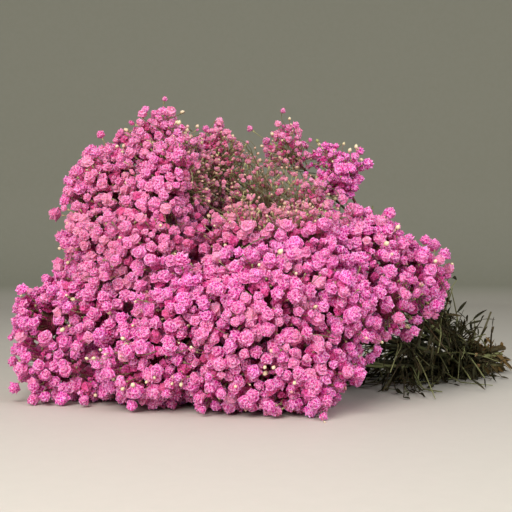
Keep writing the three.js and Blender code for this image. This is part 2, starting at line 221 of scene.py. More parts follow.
class GypBloomSettings(bpy.types.PropertyGroup):
    width: length("Bloom width", 13.2 * MM, "Mean width of an open bloom")
    spread: share("Width spread", 0.22, "How much the widths differ, as a share of the mean")
    spacing: share("Spacing", 0.69, "Least distance between blooms, as a share of their width")
    deep_spacing: share("Deep spacing", 0.84, "The same for the layer of blooms under the outer one")
    sink: length("Sink", 10 * MM, "How far the outer blooms' bases lie under the cloud's surface")
    deep_sink: length("Deep sink", 20 * MM, "How far the bases of the second layer lie under it")
    clump: length("Clumps", 9.5 * MM, "How far the clumps of blossom rise and fall")
    tilt: share("Tilt", 0.4, "How much the blooms turn away from facing straight out")
    # The fold colour is partly the dye, deeper between the petals, and partly painted shade in the folds.
    fold: colour("Fold", (0.46, 0.005, 0.15), "Colour deep between the petals")
    middle: colour("Petal", (0.77, 0.112, 0.378), "Colour of the petals")
    edge: colour("Edge", (0.90, 0.46, 0.68), "Colour of the petals' far edges")
    # The dusky colour is also laid on the furrow as painted shade.
    dusk: colour("Dusky", (0.62, 0.23, 0.285), "Colour that the less open sprays lean towards")


class GypTwigSettings(bpy.types.PropertyGroup):
    radius: length("Twig radius", 0.38 * MM, "Radius of the finest twigs")
    calyx: length("Calyx radius", 1.5 * MM, "Radius of the cup under a bloom")
    bud: length("Bud width", 3.8 * MM, "Mean width of a closed bud")
    bud_share: share("Buds", 0.12, "Closed buds for each bloom of the outer layer", 3.0)
    twig_colour: colour("Twig", (0.26, 0.24, 0.10), "Colour of the twigs")
    bud_colour: colour("Bud", (0.64, 0.54, 0.33), "Colour of the closed buds")
    heart_colour: colour("Heart", (0.30, 0.022, 0.085), "Colour of the twigs packed inside a head")


class GypStemSettings(bpy.types.PropertyGroup):
    node_gap: length("Node gap", 42 * MM, "Distance between the swollen nodes of a stem")
    shoot_radius: length("Shoot radius", 1.15 * MM, "Radius of a side shoot at its root")
    shoot_length: length("Shoot length", 85 * MM, "Mean length of a side shoot")
    leaf_length: length("Leaf length", 32 * MM, "Mean length of a leaf")
    leaf_width: length("Leaf width", 6 * MM, "Mean width of a leaf")
    # The stems' and the leaves' near-black colours are partly their own dark olive and partly painted shade
    # of the tangle under the blossom.
    bark: colour("Stem", (0.040, 0.040, 0.015), "Colour of the stems")
    stain: colour("Stain", (0.26, 0.075, 0.085), "Colour of the dye that has run down the stems")
    leaf: colour("Leaf", (0.012, 0.012, 0.005), "Colour of the leaves")
    dry: colour("Dry leaf", (0.15, 0.088, 0.028), "Colour of the withered leaves and tips")
    pith: colour("Pith", (0.30, 0.20, 0.08), "Colour of the cut ends")


class GypBandSettings(bpy.types.PropertyGroup):
    turns: number("Turns", 3, "Turns of the elastic band", 1, 5)
    colour: colour("Rubber", (0.46, 0.26, 0.11), "Colour of the elastic band")


class GypStageSettings(bpy.types.PropertyGroup):
    lens: number("Lens", 63.28, "Focal length in millimetres", 10, 200)
    floor: colour("Floor", (0.55, 0.515, 0.46), "Colour of the floor")
    backdrop: colour("Backdrop", (0.285, 0.283, 0.222), "Colour of the backdrop")
    key: number("Key light", 47, "Power of the key light in watts")
    fill: number("Fill light", 18, "Power of the fill light in watts")
    sky: number("Sky", 0.6, "Strength of the light from all round")


# ---------------------------------------------------------------- arrays of closed shells


class Shells:
    """Closed shells gathered as arrays, and written as one mesh. Every vertex has a tint: edge, tone, dusk
    and depth."""

    def __init__(self):
        self.points = []
        self.tints = []
        self.faces = []
        self.finishes = []
        self.smooth = []
        self.count = 0

    def add(self, points, faces, tint, finish=0, smooth=False):
        """points is (copies, n, 3). faces is a list of index arrays that all the copies share, one array for
        each number of corners. tint is (copies, n, 4) or spreads to it."""
        copies, each = points.shape[:2]
        if copies == 0:
            return
        self.points.append(points.reshape(-1, 3))
        self.tints.append(np.broadcast_to(tint, (copies, each, 4)).reshape(-1, 4))
        offsets = self.count + each * np.arange(copies)
        for group in faces:
            rows = (group[None] + offsets[:, None, None]).reshape(-1, group.shape[1])
            self.faces.append(rows)
            self.finishes.append(np.full(len(rows), finish))
            self.smooth.append(np.full(len(rows), smooth))
        self.count += copies * each

    def piece(self, name, slot, materials, replaced=()):
        """The shells as one object on the frame's body."""
        mesh = bpy.data.meshes.new(name)
        points = np.concatenate(self.points)
        corners = np.concatenate([rows.ravel() for rows in self.faces])
        sizes = np.concatenate([np.full(len(rows), rows.shape[1]) for rows in self.faces])
        mesh.vertices.add(len(points))
        mesh.vertices.foreach_set("co", points.ravel())
        mesh.loops.add(len(corners))
        mesh.loops.foreach_set("vertex_index", corners)
        mesh.polygons.add(len(sizes))
        mesh.polygons.foreach_set("loop_start", np.concatenate([[0], np.cumsum(sizes)[:-1]]))
        mesh.polygons.foreach_set("material_index", np.concatenate(self.finishes))
        mesh.update(calc_edges=True)
        mesh.polygons.foreach_set("use_smooth", np.concatenate(self.smooth))
        tint = mesh.attributes.new("tint", "FLOAT_COLOR", "POINT")
        tint.data.foreach_set("color", np.concatenate(self.tints).ravel())
        if mesh.validate():
            print(f"{name}: the mesh had faulty faces")
        for material in materials:
            mesh.materials.append(material)
        piece = bpy.data.objects.new(name, mesh)
        bpy.context.scene.collection.objects.link(piece)
        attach(piece, BODY)
        if replaced:
            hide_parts(*replaced)


def unit(vectors):
    """Vectors of length 1 that point the same way."""
    return vectors / np.maximum(np.linalg.norm(vectors, axis=-1, keepdims=True), 1e-12)


def bearings(count):
    """Equal steps round a circle, in radians."""
    return np.arange(count) * 2 * math.pi / count


def strips(rings, sides):
    """The quads between closed rings of points, row by row. Each has two neighbours of a ring and then the
    same two of the next ring."""
    start = np.arange(rings - 1)[:, None] * sides
    here, there = start + np.arange(sides), start + (np.arange(sides) + 1) % sides
    return np.stack([here, there, there + sides, here + sides], axis=-1).reshape(-1, 4)


def turned_over(faces):
    """The same faces seen from their other side, with the same first corner."""
    return np.roll(faces[:, ::-1], 1, axis=1)


def across(axis):
    """Two unit vectors square to each axis and to each other."""
    helper = np.where(np.abs(axis[..., 2:]) > 0.9, [1.0, 0.0, 0.0], [0.0, 0.0, 1.0])
    side = unit(np.cross(helper, axis))
    return side, np.cross(axis, side)


def carried(paths, wide, thick, sides, up=None, fold=0.0):
    """Profiles carried along paths. Ring k's point at angle a is path + side * wide * cos(a) + up * (thick *
    sin(a) + fold * wide * |cos(a)|). paths is (copies, n, 3); wide and thick are (copies, n)."""
    copies, rings = paths.shape[:2]
    along = unit(np.gradient(paths, axis=1))
    lead = unit(paths[:, -1] - paths[:, 0])
    if up is None:
        up = across(lead)[1]
    side = unit(np.cross(along, np.broadcast_to(up[:, None], along.shape)))
    rise = np.cross(side, along)
    angle = bearings(sides)
    flat = wide[..., None] * np.cos(angle)
    high = thick[..., None] * np.sin(angle) + fold * wide[..., None] * np.abs(np.cos(angle))
    points = paths[:, :, None] + side[:, :, None] * flat[..., None] + rise[:, :, None] * high[..., None]
    first = np.arange(sides)[::-1][None]
    last = (rings - 1) * sides + np.arange(sides)[None]
    return points.reshape(copies, rings * sides, 3), [strips(rings, sides), first, last]


def tinted(copies, each, edge=0.0, tone=0.5, dusk=0.0, depth=0.0):
    """A tint array from four parts, each a number or an array over the copies, or over copies and points."""
    whole = np.zeros((copies, each, 4))
    for channel, part in enumerate((edge, tone, dusk, depth)):
        part = np.asarray(part, float)
        whole[..., channel] = part[:, None] if part.shape == (copies,) else part
    return whole


# ---------------------------------------------------------------- one bloom, one bud

# A bloom's points round each ring, and its rings from its front pole to its back one: degrees from the front,
# and radius.
OUTLINES = {
    "outer": (8, [(0, 0.82), (24, 1.0), (39, 0.84), (61, 1.03), (79, 0.86), (106, 1.0), (180, 0.80)]),
    "small": (6, [(0, 0.84), (28, 1.0), (46, 0.86), (72, 1.03), (104, 0.96), (180, 0.80)]),
    "deep": (6, [(0, 0.80), (34, 1.0), (56, 0.80), (98, 1.0), (180, 0.80)]),
    "half": (6, [(0, 0.90), (20, 1.10), (34, 0.80), (72, 0.66), (122, 0.62), (180, 0.85)]),
}
SHAPES_EACH = 8
SMALL_SHARE = 0.8  # blooms narrower than this share of the mean width have fewer petals
HALF_SHARE, HALF_DUSKY = 0.06, 0.35  # how many are half open, and how many more where the blossom is dusky
BUD_OUTLINE = [(0.22, 0.34), (0.62, 0.36)]  # height and radius
BUD_CORNERS = 5


def bloom_shape(outline, rng):
    """A bloom of unit radius that opens along +Z, its back pole at the origin. It is one closed surface whose
    radius depends on the angle from the front and on the bearing: rims of petals with furrows between them.
    Along a rim every other point is a petal's middle, which stands further out and forward, and from one rim
    to the next the petals are staggered. Returns the points, how near each is to a rim, and the faces."""
    around, rings = outline
    polar, reach = np.array(rings[1:-1]).T[..., None]
    pair = np.arange(len(polar))[:, None] // 2
    rim = (reach > 0.9).astype(float)
    petal = np.where((np.arange(around) + pair) % 2, 1.0, -1.0)
    bearing = (np.arange(around) + 0.5 * pair) * 2 * math.pi / around
    shape = (len(polar), around)
    bearing = bearing + rng.uniform(-0.2, 0.2, shape)
    polar = np.radians(polar) - np.radians(7 * petal * rim) + np.radians(rng.uniform(-6, 6, shape))
    reach = reach * (1 + 0.08 * petal * rim) * rng.uniform(0.88, 1.10, shape)
    points = reach[..., None] * np.stack(
        [np.sin(polar) * np.cos(bearing), np.sin(polar) * np.sin(bearing), np.cos(polar)], axis=-1
    )
    front = [*rng.uniform(-0.12, 0.12, 2), rings[0][1]]
    points = np.concatenate([[front], points.reshape(-1, 3), [[0, 0, -rings[-1][1]]]])
    points[:, 2] += rings[-1][1]
    # Off the rims the points have little edge, the back ring least, and so take the fold colour: partly the
    # dye, partly painted shade.
    edge = np.clip(rim * (0.80 + 0.2 * petal) + (1 - rim) * 0.12 + rng.uniform(-0.1, 0.1, shape), 0, 1)
    edge[-1] *= 0.5
    return points, np.concatenate([[0.3], edge.ravel(), [0.0]]), ball_faces(around, len(pair))


def ball_faces(around, rings, rising=False):
    """The faces of a grid of rings that two poles close: the first point, the rings, the last point. The
    first point is the top one, or the lowest one of a rising grid."""
    ring = np.arange(around)
    following = (ring + 1) % around
    last = 1 + around * (rings - 1)
    first_fan = np.stack([0 * ring, 1 + following, 1 + ring], axis=-1)
    last_fan = np.stack([0 * ring + last + around, last + ring, last + following], axis=-1)
    faces = [1 + strips(rings, around), np.concatenate([first_fan, last_fan])]
    return faces if rising else [turned_over(rows) for rows in faces]


def bud_shape():
    """A bud of unit length along +Z: two rings of points on an egg's outline, closed by two poles."""
    angle = bearings(BUD_CORNERS)
    rings = [
        np.stack([r * np.cos(angle + turn), r * np.sin(angle + turn), np.full(BUD_CORNERS, h)], axis=-1)
        for turn, (h, r) in enumerate(BUD_OUTLINE)
    ]
    points = np.concatenate([[[0, 0, 0]], *rings, [[0, 0, 1]]])
    walls, fans = ball_faces(BUD_CORNERS, 2, rising=True)
    low, high = np.split(fans, 2)
    return points, [np.concatenate([low, walls[:, [0, 1, 3]], walls[:, 1:], high])]


# ---------------------------------------------------------------- where the blooms are


def triangles_of(node):
    """A CAD node's triangles as (n, 3, 3) points."""
    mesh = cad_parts[node].data
    points = np.zeros(len(mesh.vertices) * 3)
    mesh.vertices.foreach_get("co", points)
    mesh.calc_loop_triangles()
    corners = np.zeros(len(mesh.loop_triangles) * 3, np.int32)
    mesh.loop_triangles.foreach_get("vertices", corners)
    return points.reshape(-1, 3)[corners.reshape(-1, 3)]


def surface_points(triangles, rng, width):
    """Random points spread evenly over the triangles' area, with the triangles' normals."""
    edge_a = triangles[:, 1] - triangles[:, 0]
    edge_b = triangles[:, 2] - triangles[:, 0]
    normal = np.cross(edge_a, edge_b)
    area = np.linalg.norm(normal, axis=1) / 2
    count = int(CANDIDATES * area.sum() / width**2)
    chosen = rng.choice(len(triangles), count, p=area / area.sum())
    u, v = rng.random((2, count))
    over = u + v > 1
    u, v = np.where(over, 1 - u, u), np.where(over, 1 - v, v)
    points = triangles[chosen, 0] + edge_a[chosen] * u[:, None] + edge_b[chosen] * v[:, None]
    return points, unit(normal[chosen])


def blended(points):
    """How far points stand off the cloud's blended surface, and which way leads straight out of it. The
    distance is the soft least of the distances d to the heads: -BLEND * log(sum(exp(-d / BLEND)))."""
    away = points[:, None] - CENTRES
    gap = np.linalg.norm(away, axis=-1)
    distance = gap - RADII + TRIM
    least = distance.min(axis=1)
    weight = np.exp((least[:, None] - distance) / BLEND)
    total = weight.sum(axis=1)
    outward = unit(((weight / gap)[..., None] * away).sum(axis=1))
    return least - BLEND * np.log(total), outward


def clumps(points):
    """Lumps and hollows that make uneven clusters of the blossom: a sum of two products of sines."""
    x, y, z = (points / MM).T
    broad = np.sin(x / 9.1 + 1.3) * np.sin(y / 8.3 + 0.4 + z / 31) * np.sin(z / 8.7 + 2.1)
    fine = np.sin(x / 4.9 + y / 13 + 0.7) * np.sin(y / 5.3 + 1.9) * np.sin(z / 4.6 + x / 17)
    return 1.25 * broad + 0.6 * fine


def furrowed(points):
    """How much points lie in the furrow, from 0 to 1: the Gaussian of their distance from the nearest stretch
    between the furrow's points."""
    nearest = np.full(len(points), np.inf)
    for start, end in zip(FURROW, FURROW[1:]):
        along = end - start
        part = np.clip((points - start) @ along / (along @ along), 0, 1)
        nearest = np.minimum(nearest, np.linalg.norm(points - start - part[:, None] * along, axis=1))
    return np.exp(-((nearest / FURROW_WIDTH) ** 2))


def dented(points):
    """How much points lie in a dent, from 0 to 1: the Gaussian of their distance from the nearest dent."""
    away = np.linalg.norm(points[:, None] - DENTS, axis=-1).min(axis=1)
    return np.exp(-((away / DENT_WIDTH) ** 2))


def openness(points, outward, reach=75 * MM, slack=7 * MM, lean=math.radians(52)):
    """The share of seven rays that leave a point without meeting a head: one straight out, six leaning aside.
    A ray meets a head where it passes the head's centre by less than the radius, within reach."""
    side, up = across(outward)
    rays = [outward]
    for angle in bearings(6):
        aside = side * math.cos(angle) + up * math.sin(angle)
        rays.append(outward * math.cos(lean) + aside * math.sin(lean))
    towards = CENTRES - points[:, None]
    square = (towards**2).sum(axis=-1)
    inner = (RADII - slack) ** 2
    free = np.zeros(len(points))
    for ray in rays:
        along = np.einsum("phk,pk->ph", towards, ray)
        half_chord = inner - (square - along**2)
        entry = along - np.sqrt(np.maximum(half_chord, 0))
        met = (half_chord > 0) & (entry > 0) & (entry < reach)
        free += ~met.any(axis=1)
    return free / len(rays)


def spaced(points, apart, order):
    """The points that remain, taken in the given order, when each keeps its distance from those before it."""
    tree = KDTree(len(points))
    for i, point in enumerate(points):
        tree.insert(point, i)
    tree.balance()
    kept = np.ones(len(points), bool)
    settled = np.zeros(len(points), bool)
    for i in order:
        if not kept[i]:
            continue
        settled[i] = True
        for _, near, _ in tree.find_range(points[i], apart[i]):
            if not settled[near]:
                kept[near] = False
    return np.flatnonzero(kept)


def nearness(points, middle, reach):
    """1 up to 0.6 of a region's reach, falling to 0 at 1.25 of it."""
    away = np.linalg.norm((points - middle) / reach, axis=-1)
    return np.clip((1.25 - away) / 0.65, 0, 1)


def duskiness(points):
    """0 in the open sprays, rising to 1 in the middle of the less open ones."""
    return np.max([nearness(points, middle, reach) for middle, reach in DUSKY_PLACES], axis=0)


def thinness(points):
    """0 where the blossom is dense, rising to 1 where it thins out."""
    return np.max([amount * nearness(points, middle, reach) for middle, reach, amount in THIN_PLACES], axis=0)


def youth(points):
    """0 low down, rising to 1 in the topmost blossom."""
    return np.clip((points[:, 2] - YOUNG_START) / YOUNG_REACH, 0, 1)


def candidates(settings, rng):
    """Places all over the open surface of the cloud: random points of the heads, moved out or in to the
    blended surface with its clumps. Points that would move too far lie between heads, and are left out."""
    points, heads, feet = [], [], []
    for index, (name, _, _) in enumerate(HEADS):
        found, normals = surface_points(triangles_of(name), rng, settings.width)
        points.append(found)
        heads.append(np.full(len(found), index))
        feet.append((normals[:, 2] < -0.9) & (found[:, 2] < FOOT_HEIGHT))
    start, heads, feet = np.concatenate(points), np.concatenate(heads), np.concatenate(feet)
    points = start
    for _ in range(4):
        distance, outward = blended(points)
        wanted = settings.clump * clumps(start) - FURROW_DEPTH * furrowed(start) - DENT_DEPTH * dented(start)
        points = points + outward * (wanted - distance)[:, None] * 0.8
    moved = np.linalg.norm(points - start, axis=1)
    _, outward = blended(points)
    seen = (moved < MOST_MOVED) & (openness(points, outward) > LEAST_OPEN) & ~feet
    foot = feet & (rng.random(len(feet)) < FOOT_SHARE)
    points[foot], outward[foot] = start[foot], (0, 0, -1)
    kept = (seen & (points[:, 2] > 0)) | foot
    return points[kept], outward[kept], heads[kept]


def bloom_tones(points, heads, vivid):
    """How pale the blooms are: the mean, a sine over the heads, a product of sines over the places, more on
    the far side, and less where they are vivid."""
    x, y, z = (points / MM).T
    patches = np.sin(x / 21 + z / 40) * np.sin(y / 24 - z / 19)
    tones = HEAD_TONES * np.sin(heads * 2.4) + PATCH_TONES * patches + MEAN_TONE
    tones += FAR_PALER * np.clip((points[:, 1] - FAR_SIDE) / FAR_REACH, 0, 1)
    return tones - VIVID_DEEPER * vivid


def bloom_places(settings):
    """The outer and the deep blooms of every head: where their bases lie, which way they open, how wide they
    are, and the regions' shares in them."""
    rng = np.random.default_rng([SEED, 0])
    points, outward, heads = candidates(settings, rng)
    young, furrow, thin = youth(points), furrowed(points), thinness(points)
    vivid = nearness(points, VIVID_PLACE, VIVID_REACH)
    dull = nearness(points, DULL_PLACE, DULL_REACH)
    # In the furrow, duskiness is painted shade in the crease.
    dusk = np.maximum(duskiness(points), DUSKIER["furrow"] * furrow)
    widths = settings.width * np.clip(rng.normal(1, settings.spread, len(points)), *WIDTH_LIMITS)
    widths *= (1 - SMALLER["dusky"] * dusk) * (1 - SMALLER["young"] * young)
    apart = LOOSER["thin"] * thin + LOOSER["furrow"] * furrow + LOOSER["vivid"] * vivid
    dusk = np.maximum(dusk, np.maximum(DUSKIER["young"] * young, DUSKIER["dull"] * dull))
    layer_settings = {
        "outer": (settings.sink, settings.spacing),
        "deep": (settings.deep_sink, settings.deep_spacing),
    }
    spacings = {
        layer: spacing * (1 + DUSK_SPACING[layer] * dusk + LOOSE_SPACING[layer] * apart)
        for layer, (_, spacing) in layer_settings.items()
    }
    tones = bloom_tones(points, heads, vivid)
    magenta = heads == [name for name, _, _ in HEADS].index(MAGENTA_HEAD)
    tones[magenta] = 0
    dusk[magenta] = 0
    layers = {}
    for layer, (sink, _) in layer_settings.items():
        kept = spaced(points, widths * spacings[layer], rng.permutation(len(points)))
        count = len(kept)
        shift = rng.normal(0, 0.2 * settings.width, count) - sink
        if layer == "outer":
            proud = rng.random(count) < PROUD_SHARE * (1 + PROUD_VIVID * vivid[kept])
            shift[proud] += rng.uniform(*PROUD_RANGE, proud.sum()) * settings.width
        layers[layer] = {
            "head": heads[kept],
            "base": points[kept] + outward[kept] * shift[:, None],
            "axis": unit(outward[kept] + settings.tilt * rng.normal(size=(count, 3)) + [0, 0, 0.15]),
            "outward": outward[kept],
            "width": widths[kept],
            "dusk": dusk[kept],
            # depth: where the petals get painted shade, all of the deep layer and the blooms in the furrow
            "depth": np.maximum(float(layer == "deep"), furrow[kept]),
            "thin": thin[kept],
            "tone": np.clip(rng.normal(0, BLOOM_TONES, count) + tones[kept], 0, 1),
        }
        print(f"{layer}: {count} blooms")
    return layers


PLACES = {}


def places_of(index):
    """A head's blooms. All are worked out once."""
    if not PLACES:
        PLACES.update(bloom_places(bpy.context.scene.gyp_blooms))
    return {
        layer: {key: values[blooms["head"] == index] for key, values in blooms.items()}
        for layer, blooms in PLACES.items()
    }


# ---------------------------------------------------------------- materials

# The colours that the settings don't hold. Those of a shade are what a colour is multiplied by: the deep one
# is painted shade on the blooms deep between others and in the furrow, the vivid one is painted light on the
# most vivid blooms.
PALE_PETAL, WARM_PETAL = (0.90, 0.38, 0.56), (0.72, 0.20, 0.38)
DEEP_PAINTED_SHADE, VIVID_PAINTED_LIGHT = (0.86, 0.38, 0.62), (1.2, 1.12, 1.16)
PETAL_SHEEN = (1.0, 0.58, 0.82, 1.0)
GREEN_CALYX, STAINED_TWIG = (0.42, 0.40, 0.17), (0.40, 0.13, 0.14)
DARK_TWIG, RUNNER = (0.16, 0.17, 0.06), (0.05, 0.035, 0.02)
BUD_FOOT, BUD_TIP = (0.28, 0.33, 0.11), (0.86, 0.72, 0.50)
BLUSHED_BUD, BROWN_BUD, SPECKLED_BUD = (0.72, 0.24, 0.34), (0.50, 0.24, 0.20), (0.5, 0.42, 0.2)
LIGHT_THREAD, DARK_THREAD = (0.44, 0.045, 0.14), (0.13, 0.09, 0.045)
# The dark stem and leaf colours are partly painted shade of the tangle under the blossom.
DARK_STEM, PALE_STEM = (0.014, 0.013, 0.006), (0.11, 0.11, 0.04)
BROWN_STEM, LIGHT_STEM = (0.085, 0.052, 0.02), (0.23, 0.245, 0.10)
DARK_LEAF, PALE_LEAF, MIDRIB = (0.005, 0.005, 0.003), (0.045, 0.047, 0.018), (0.08, 0.085, 0.035)
DARK_PITH, PALE_PITH = (0.10, 0.065, 0.025), (0.62, 0.52, 0.28)
DUST = (0.40, 0.37, 0.33)
RIM_BEND = 4 * MM  # how far the crinkles bend the petals' rims


class Finish:
    """A node material with short ways to add nodes and link them."""

    def __init__(self, name):
        self.material = bpy.data.materials.new(name)
        self.material.use_nodes = True
        self.nodes = self.material.node_tree.nodes
        self.links = self.material.node_tree.links
        self.shader = self.nodes["Principled BSDF"]
        self.place = self.nodes.new("ShaderNodeTexCoord").outputs["Object"]

    def node(self, kind, **inputs):
        """A node with some of its inputs set or linked."""
        made = self.nodes.new(kind)
        for key, value in inputs.items():
            self.fill(made.inputs[key.replace("_", " ")], value)
        return made

    def fill(self, target, value):
        """Links a socket to another one, or sets it to a number, a vector or a colour."""
        if isinstance(value, bpy.types.NodeSocket):
            self.links.new(value, target)
        elif hasattr(value, "__len__") and target.type == "RGBA":
            target.default_value = (*value, 1)
        else:
            target.default_value = value

    def tint(self):
        """The edge, tone and dusk of the mesh's tint, and its depth."""
        read = self.node("ShaderNodeAttribute")
        read.attribute_name = "tint"
        split = self.node("ShaderNodeSeparateColor", Color=read.outputs["Color"])
        return split.outputs["Red"], split.outputs["Green"], split.outputs["Blue"], read.outputs["Alpha"]

    def noise(self, scale, detail=3.0, rough=0.6):
        """Noise between 0 and 1."""
        made = self.node("ShaderNodeTexNoise", Vector=self.place, Scale=scale, Detail=detail, Roughness=rough)
        return made.outputs["Fac"]

    def ramp(self, factor, *stops):
        """A colour or a number that depends on the factor. Each stop is a place and what it is there."""
        made = self.node("ShaderNodeValToRGB", Fac=factor)
        band = made.color_ramp
        while len(band.elements) < len(stops):
            band.elements.new(0.5)
        for element, (place, tone) in zip(band.elements, stops):
            element.position = place
            element.color = (*tone, 1) if hasattr(tone, "__len__") else (tone, tone, tone, 1)
        return made.outputs["Color"]

    def mix(self, factor, first, second, blend="MIX"):
        """Mixes two colours, each a socket or a colour, by a socket or a number."""
        made = self.nodes.new("ShaderNodeMix")
        made.data_type = "RGBA"
        made.blend_type = blend
        sockets = (made.inputs["Factor"], made.inputs[6], made.inputs[7])
        for target, value in zip(sockets, (factor, first, second)):
            self.fill(target, value)
        return made.outputs[2]

    def maths(self, kind, *values, clamp=True):
        """A sum, a product or the like of sockets and numbers."""
        made = self.nodes.new("ShaderNodeMath")
        made.operation = kind
        made.use_clamp = clamp
        for target, value in zip(made.inputs, values):
            self.fill(target, value)
        return made.outputs[0]

    def times(self, first, second):
        """The product of two shares."""
        return self.maths("MULTIPLY", first, second)

    def scaled(self, source, factor, offset):
        """The source times a factor plus an offset."""
        return self.maths("MULTIPLY_ADD", source, factor, offset, clamp=False)

    def rims(self, scale, warp):
        """Small curved cells: 1 along their borders, falling to 0 inside them. The warp bends the borders."""
        bent = self.nodes.new("ShaderNodeVectorMath")
        bent.operation = "MULTIPLY_ADD"
        for target, value in zip(bent.inputs, (warp, (RIM_BEND,) * 3, self.place)):
            self.fill(target, value)
        cells = self.node("ShaderNodeTexVoronoi", Scale=scale)
        cells.feature = "DISTANCE_TO_EDGE"
        self.fill(cells.inputs["Vector"], bent.outputs[0])
        return self.ramp(cells.outputs["Distance"], (0.0, 1.0), (0.22, 0.0))

    def finished(self, skin, height, distance, strength, **inputs):
        """The material, once its colour and its bump are linked and the shader's other inputs are set."""
        bump = self.node("ShaderNodeBump", Strength=strength, Distance=distance, Height=height)
        self.fill(self.shader.inputs["Normal"], bump.outputs["Normal"])
        self.fill(self.shader.inputs["Base Color"], skin)
        for key, value in inputs.items():
            self.shader.inputs[key.replace("_", " ")].default_value = value
        return self.material


def petal_finish(blooms):
    """Crinkled petals: deep in the folds, partly the dye and partly painted shade there, and pale along their
    rims, each bloom a little different. The deep and the furrowed blooms get painted shade, and the most
    vivid ones painted light.
    """
    made = Finish("dyed_petal")
    edge, tone, dusk, depth = made.tint()
    crinkle = made.noise(400.0, 3.0, 0.75)
    rims = made.scaled(made.rims(310.0, crinkle), 0.8, 0.03)
    relief = made.maths("ADD", made.scaled(crinkle, 1.2, -0.82), rims, clamp=False)
    along = made.maths("ADD", made.scaled(edge, 0.6, -0.06), relief, clamp=False)
    # low along is the fold colour: partly the dye, partly painted shade in the folds
    skin = made.ramp(along, (0.0, blooms.fold), (0.34, blooms.middle), (0.95, blooms.edge))
    hue = made.ramp(tone, (0.0, 0.474), (0.25, 0.478), (0.45, 0.484), (0.6, 0.490), (1.0, 0.500))
    skin = made.node("ShaderNodeHueSaturation", Color=skin, Hue=hue).outputs["Color"]
    skin = made.mix(made.times(made.ramp(tone, (0.6, 0.0), (1.0, 1.0)), 0.6), skin, PALE_PETAL)
    skin = made.mix(made.ramp(made.noise(13.0, 2.0), (0.40, 0.0), (0.72, 0.3)), skin, WARM_PETAL)
    # dusk: the less open sprays' own colour, and painted shade in the furrow
    skin = made.mix(made.times(dusk, 0.8), skin, blooms.dusk)
    # painted shade: the deep layer's blooms and those in the furrow are darkened by their depth
    skin = made.mix(depth, skin, DEEP_PAINTED_SHADE, "MULTIPLY")
    # painted light: the most vivid blooms, the magenta head among them, are made brighter than their colour
    skin = made.mix(made.ramp(tone, (0.0, 1.0), (0.2, 0.0)), skin, VIVID_PAINTED_LIGHT, "MULTIPLY")
    sheen = {"Sheen_Weight": 0.4, "Sheen_Roughness": 0.4, "Sheen_Tint": PETAL_SHEEN}
    soft = {"Subsurface_Weight": 0.3, "Subsurface_Scale": 1.5 * MM}
    return made.finished(skin, along, 0.8 * MM, 0.7, Roughness=0.7, Specular_IOR_Level=0.2, **sheen, **soft)


def twig_finish(twigs):
    """Fine twigs and calyxes, greener at the calyx, stained pink in places, and dark where they run bare."""
    made = Finish("green_twig")
    edge, tone, _, depth = made.tint()
    grain = made.noise(400.0)
    skin = made.mix(edge, twigs.twig_colour, GREEN_CALYX)
    skin = made.mix(made.times(made.ramp(tone, (0.35, 0.0), (0.9, 1.0)), 0.6), skin, STAINED_TWIG)
    skin = made.mix(made.ramp(grain, (0.3, 0.0), (0.7, 0.5)), skin, DARK_TWIG)
    skin = made.mix(depth, skin, RUNNER)
    return made.finished(skin, grain, 0.2 * MM, 0.5, Roughness=0.6)


def bud_finish(twigs):
    """Closed buds: cream with a green foot, a blush of dye on some, and brownish on the less open sprays."""
    made = Finish("cream_bud")
    edge, tone, dusk, _ = made.tint()
    grain = made.noise(900.0)
    skin = made.ramp(edge, (0.0, BUD_FOOT), (0.4, twigs.bud_colour), (1.0, BUD_TIP))
    skin = made.mix(made.ramp(tone, (0.35, 0.0), (0.8, 0.8)), skin, BLUSHED_BUD)
    skin = made.mix(made.times(dusk, 0.75), skin, BROWN_BUD)
    skin = made.mix(made.times(grain, 0.2), skin, SPECKLED_BUD)
    soft = {"Subsurface_Weight": 0.1, "Subsurface_Scale": MM}
    return made.finished(skin, grain, 0.2 * MM, 0.4, Roughness=0.5, **soft)


def heart_finish(twigs):
    """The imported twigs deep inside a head: dark, fibrous, with lighter threads."""
    made = Finish("packed_twigs")
    waves = made.node("ShaderNodeTexWave", Vector=made.place, Scale=140.0, Distortion=9.0, Detail=3.0)
    wave = waves.outputs["Fac"]
    skin = made.ramp(wave, (0.0, twigs.heart_colour), (0.8, LIGHT_THREAD), (1.0, DARK_THREAD))
    return made.finished(skin, wave, 2 * MM, 1.0, Roughness=0.9, Specular_IOR_Level=0.1)


def stem_finish(stems):
    """Stems: olive, mottled, stained by dye towards the blossom and browned near the cut. Their darkness is
    partly painted shade under the blossom.
    """
    made = Finish("olive_stem")
    edge, tone, dusk, _ = made.tint()
    grain = made.noise(260.0, 5.0, 0.65)
    skin = made.ramp(grain, (0.28, DARK_STEM), (0.55, stems.bark), (0.8, PALE_STEM))
    skin = made.mix(made.times(edge, 0.65), skin, stems.stain)
    skin = made.mix(made.times(dusk, 0.7), skin, BROWN_STEM)
    skin = made.mix(made.ramp(tone, (0.68, 0.0), (0.92, 0.85)), skin, LIGHT_STEM)
    return made.finished(skin, grain, 0.4 * MM, 0.6, Roughness=0.55, Specular_IOR_Level=0.25)


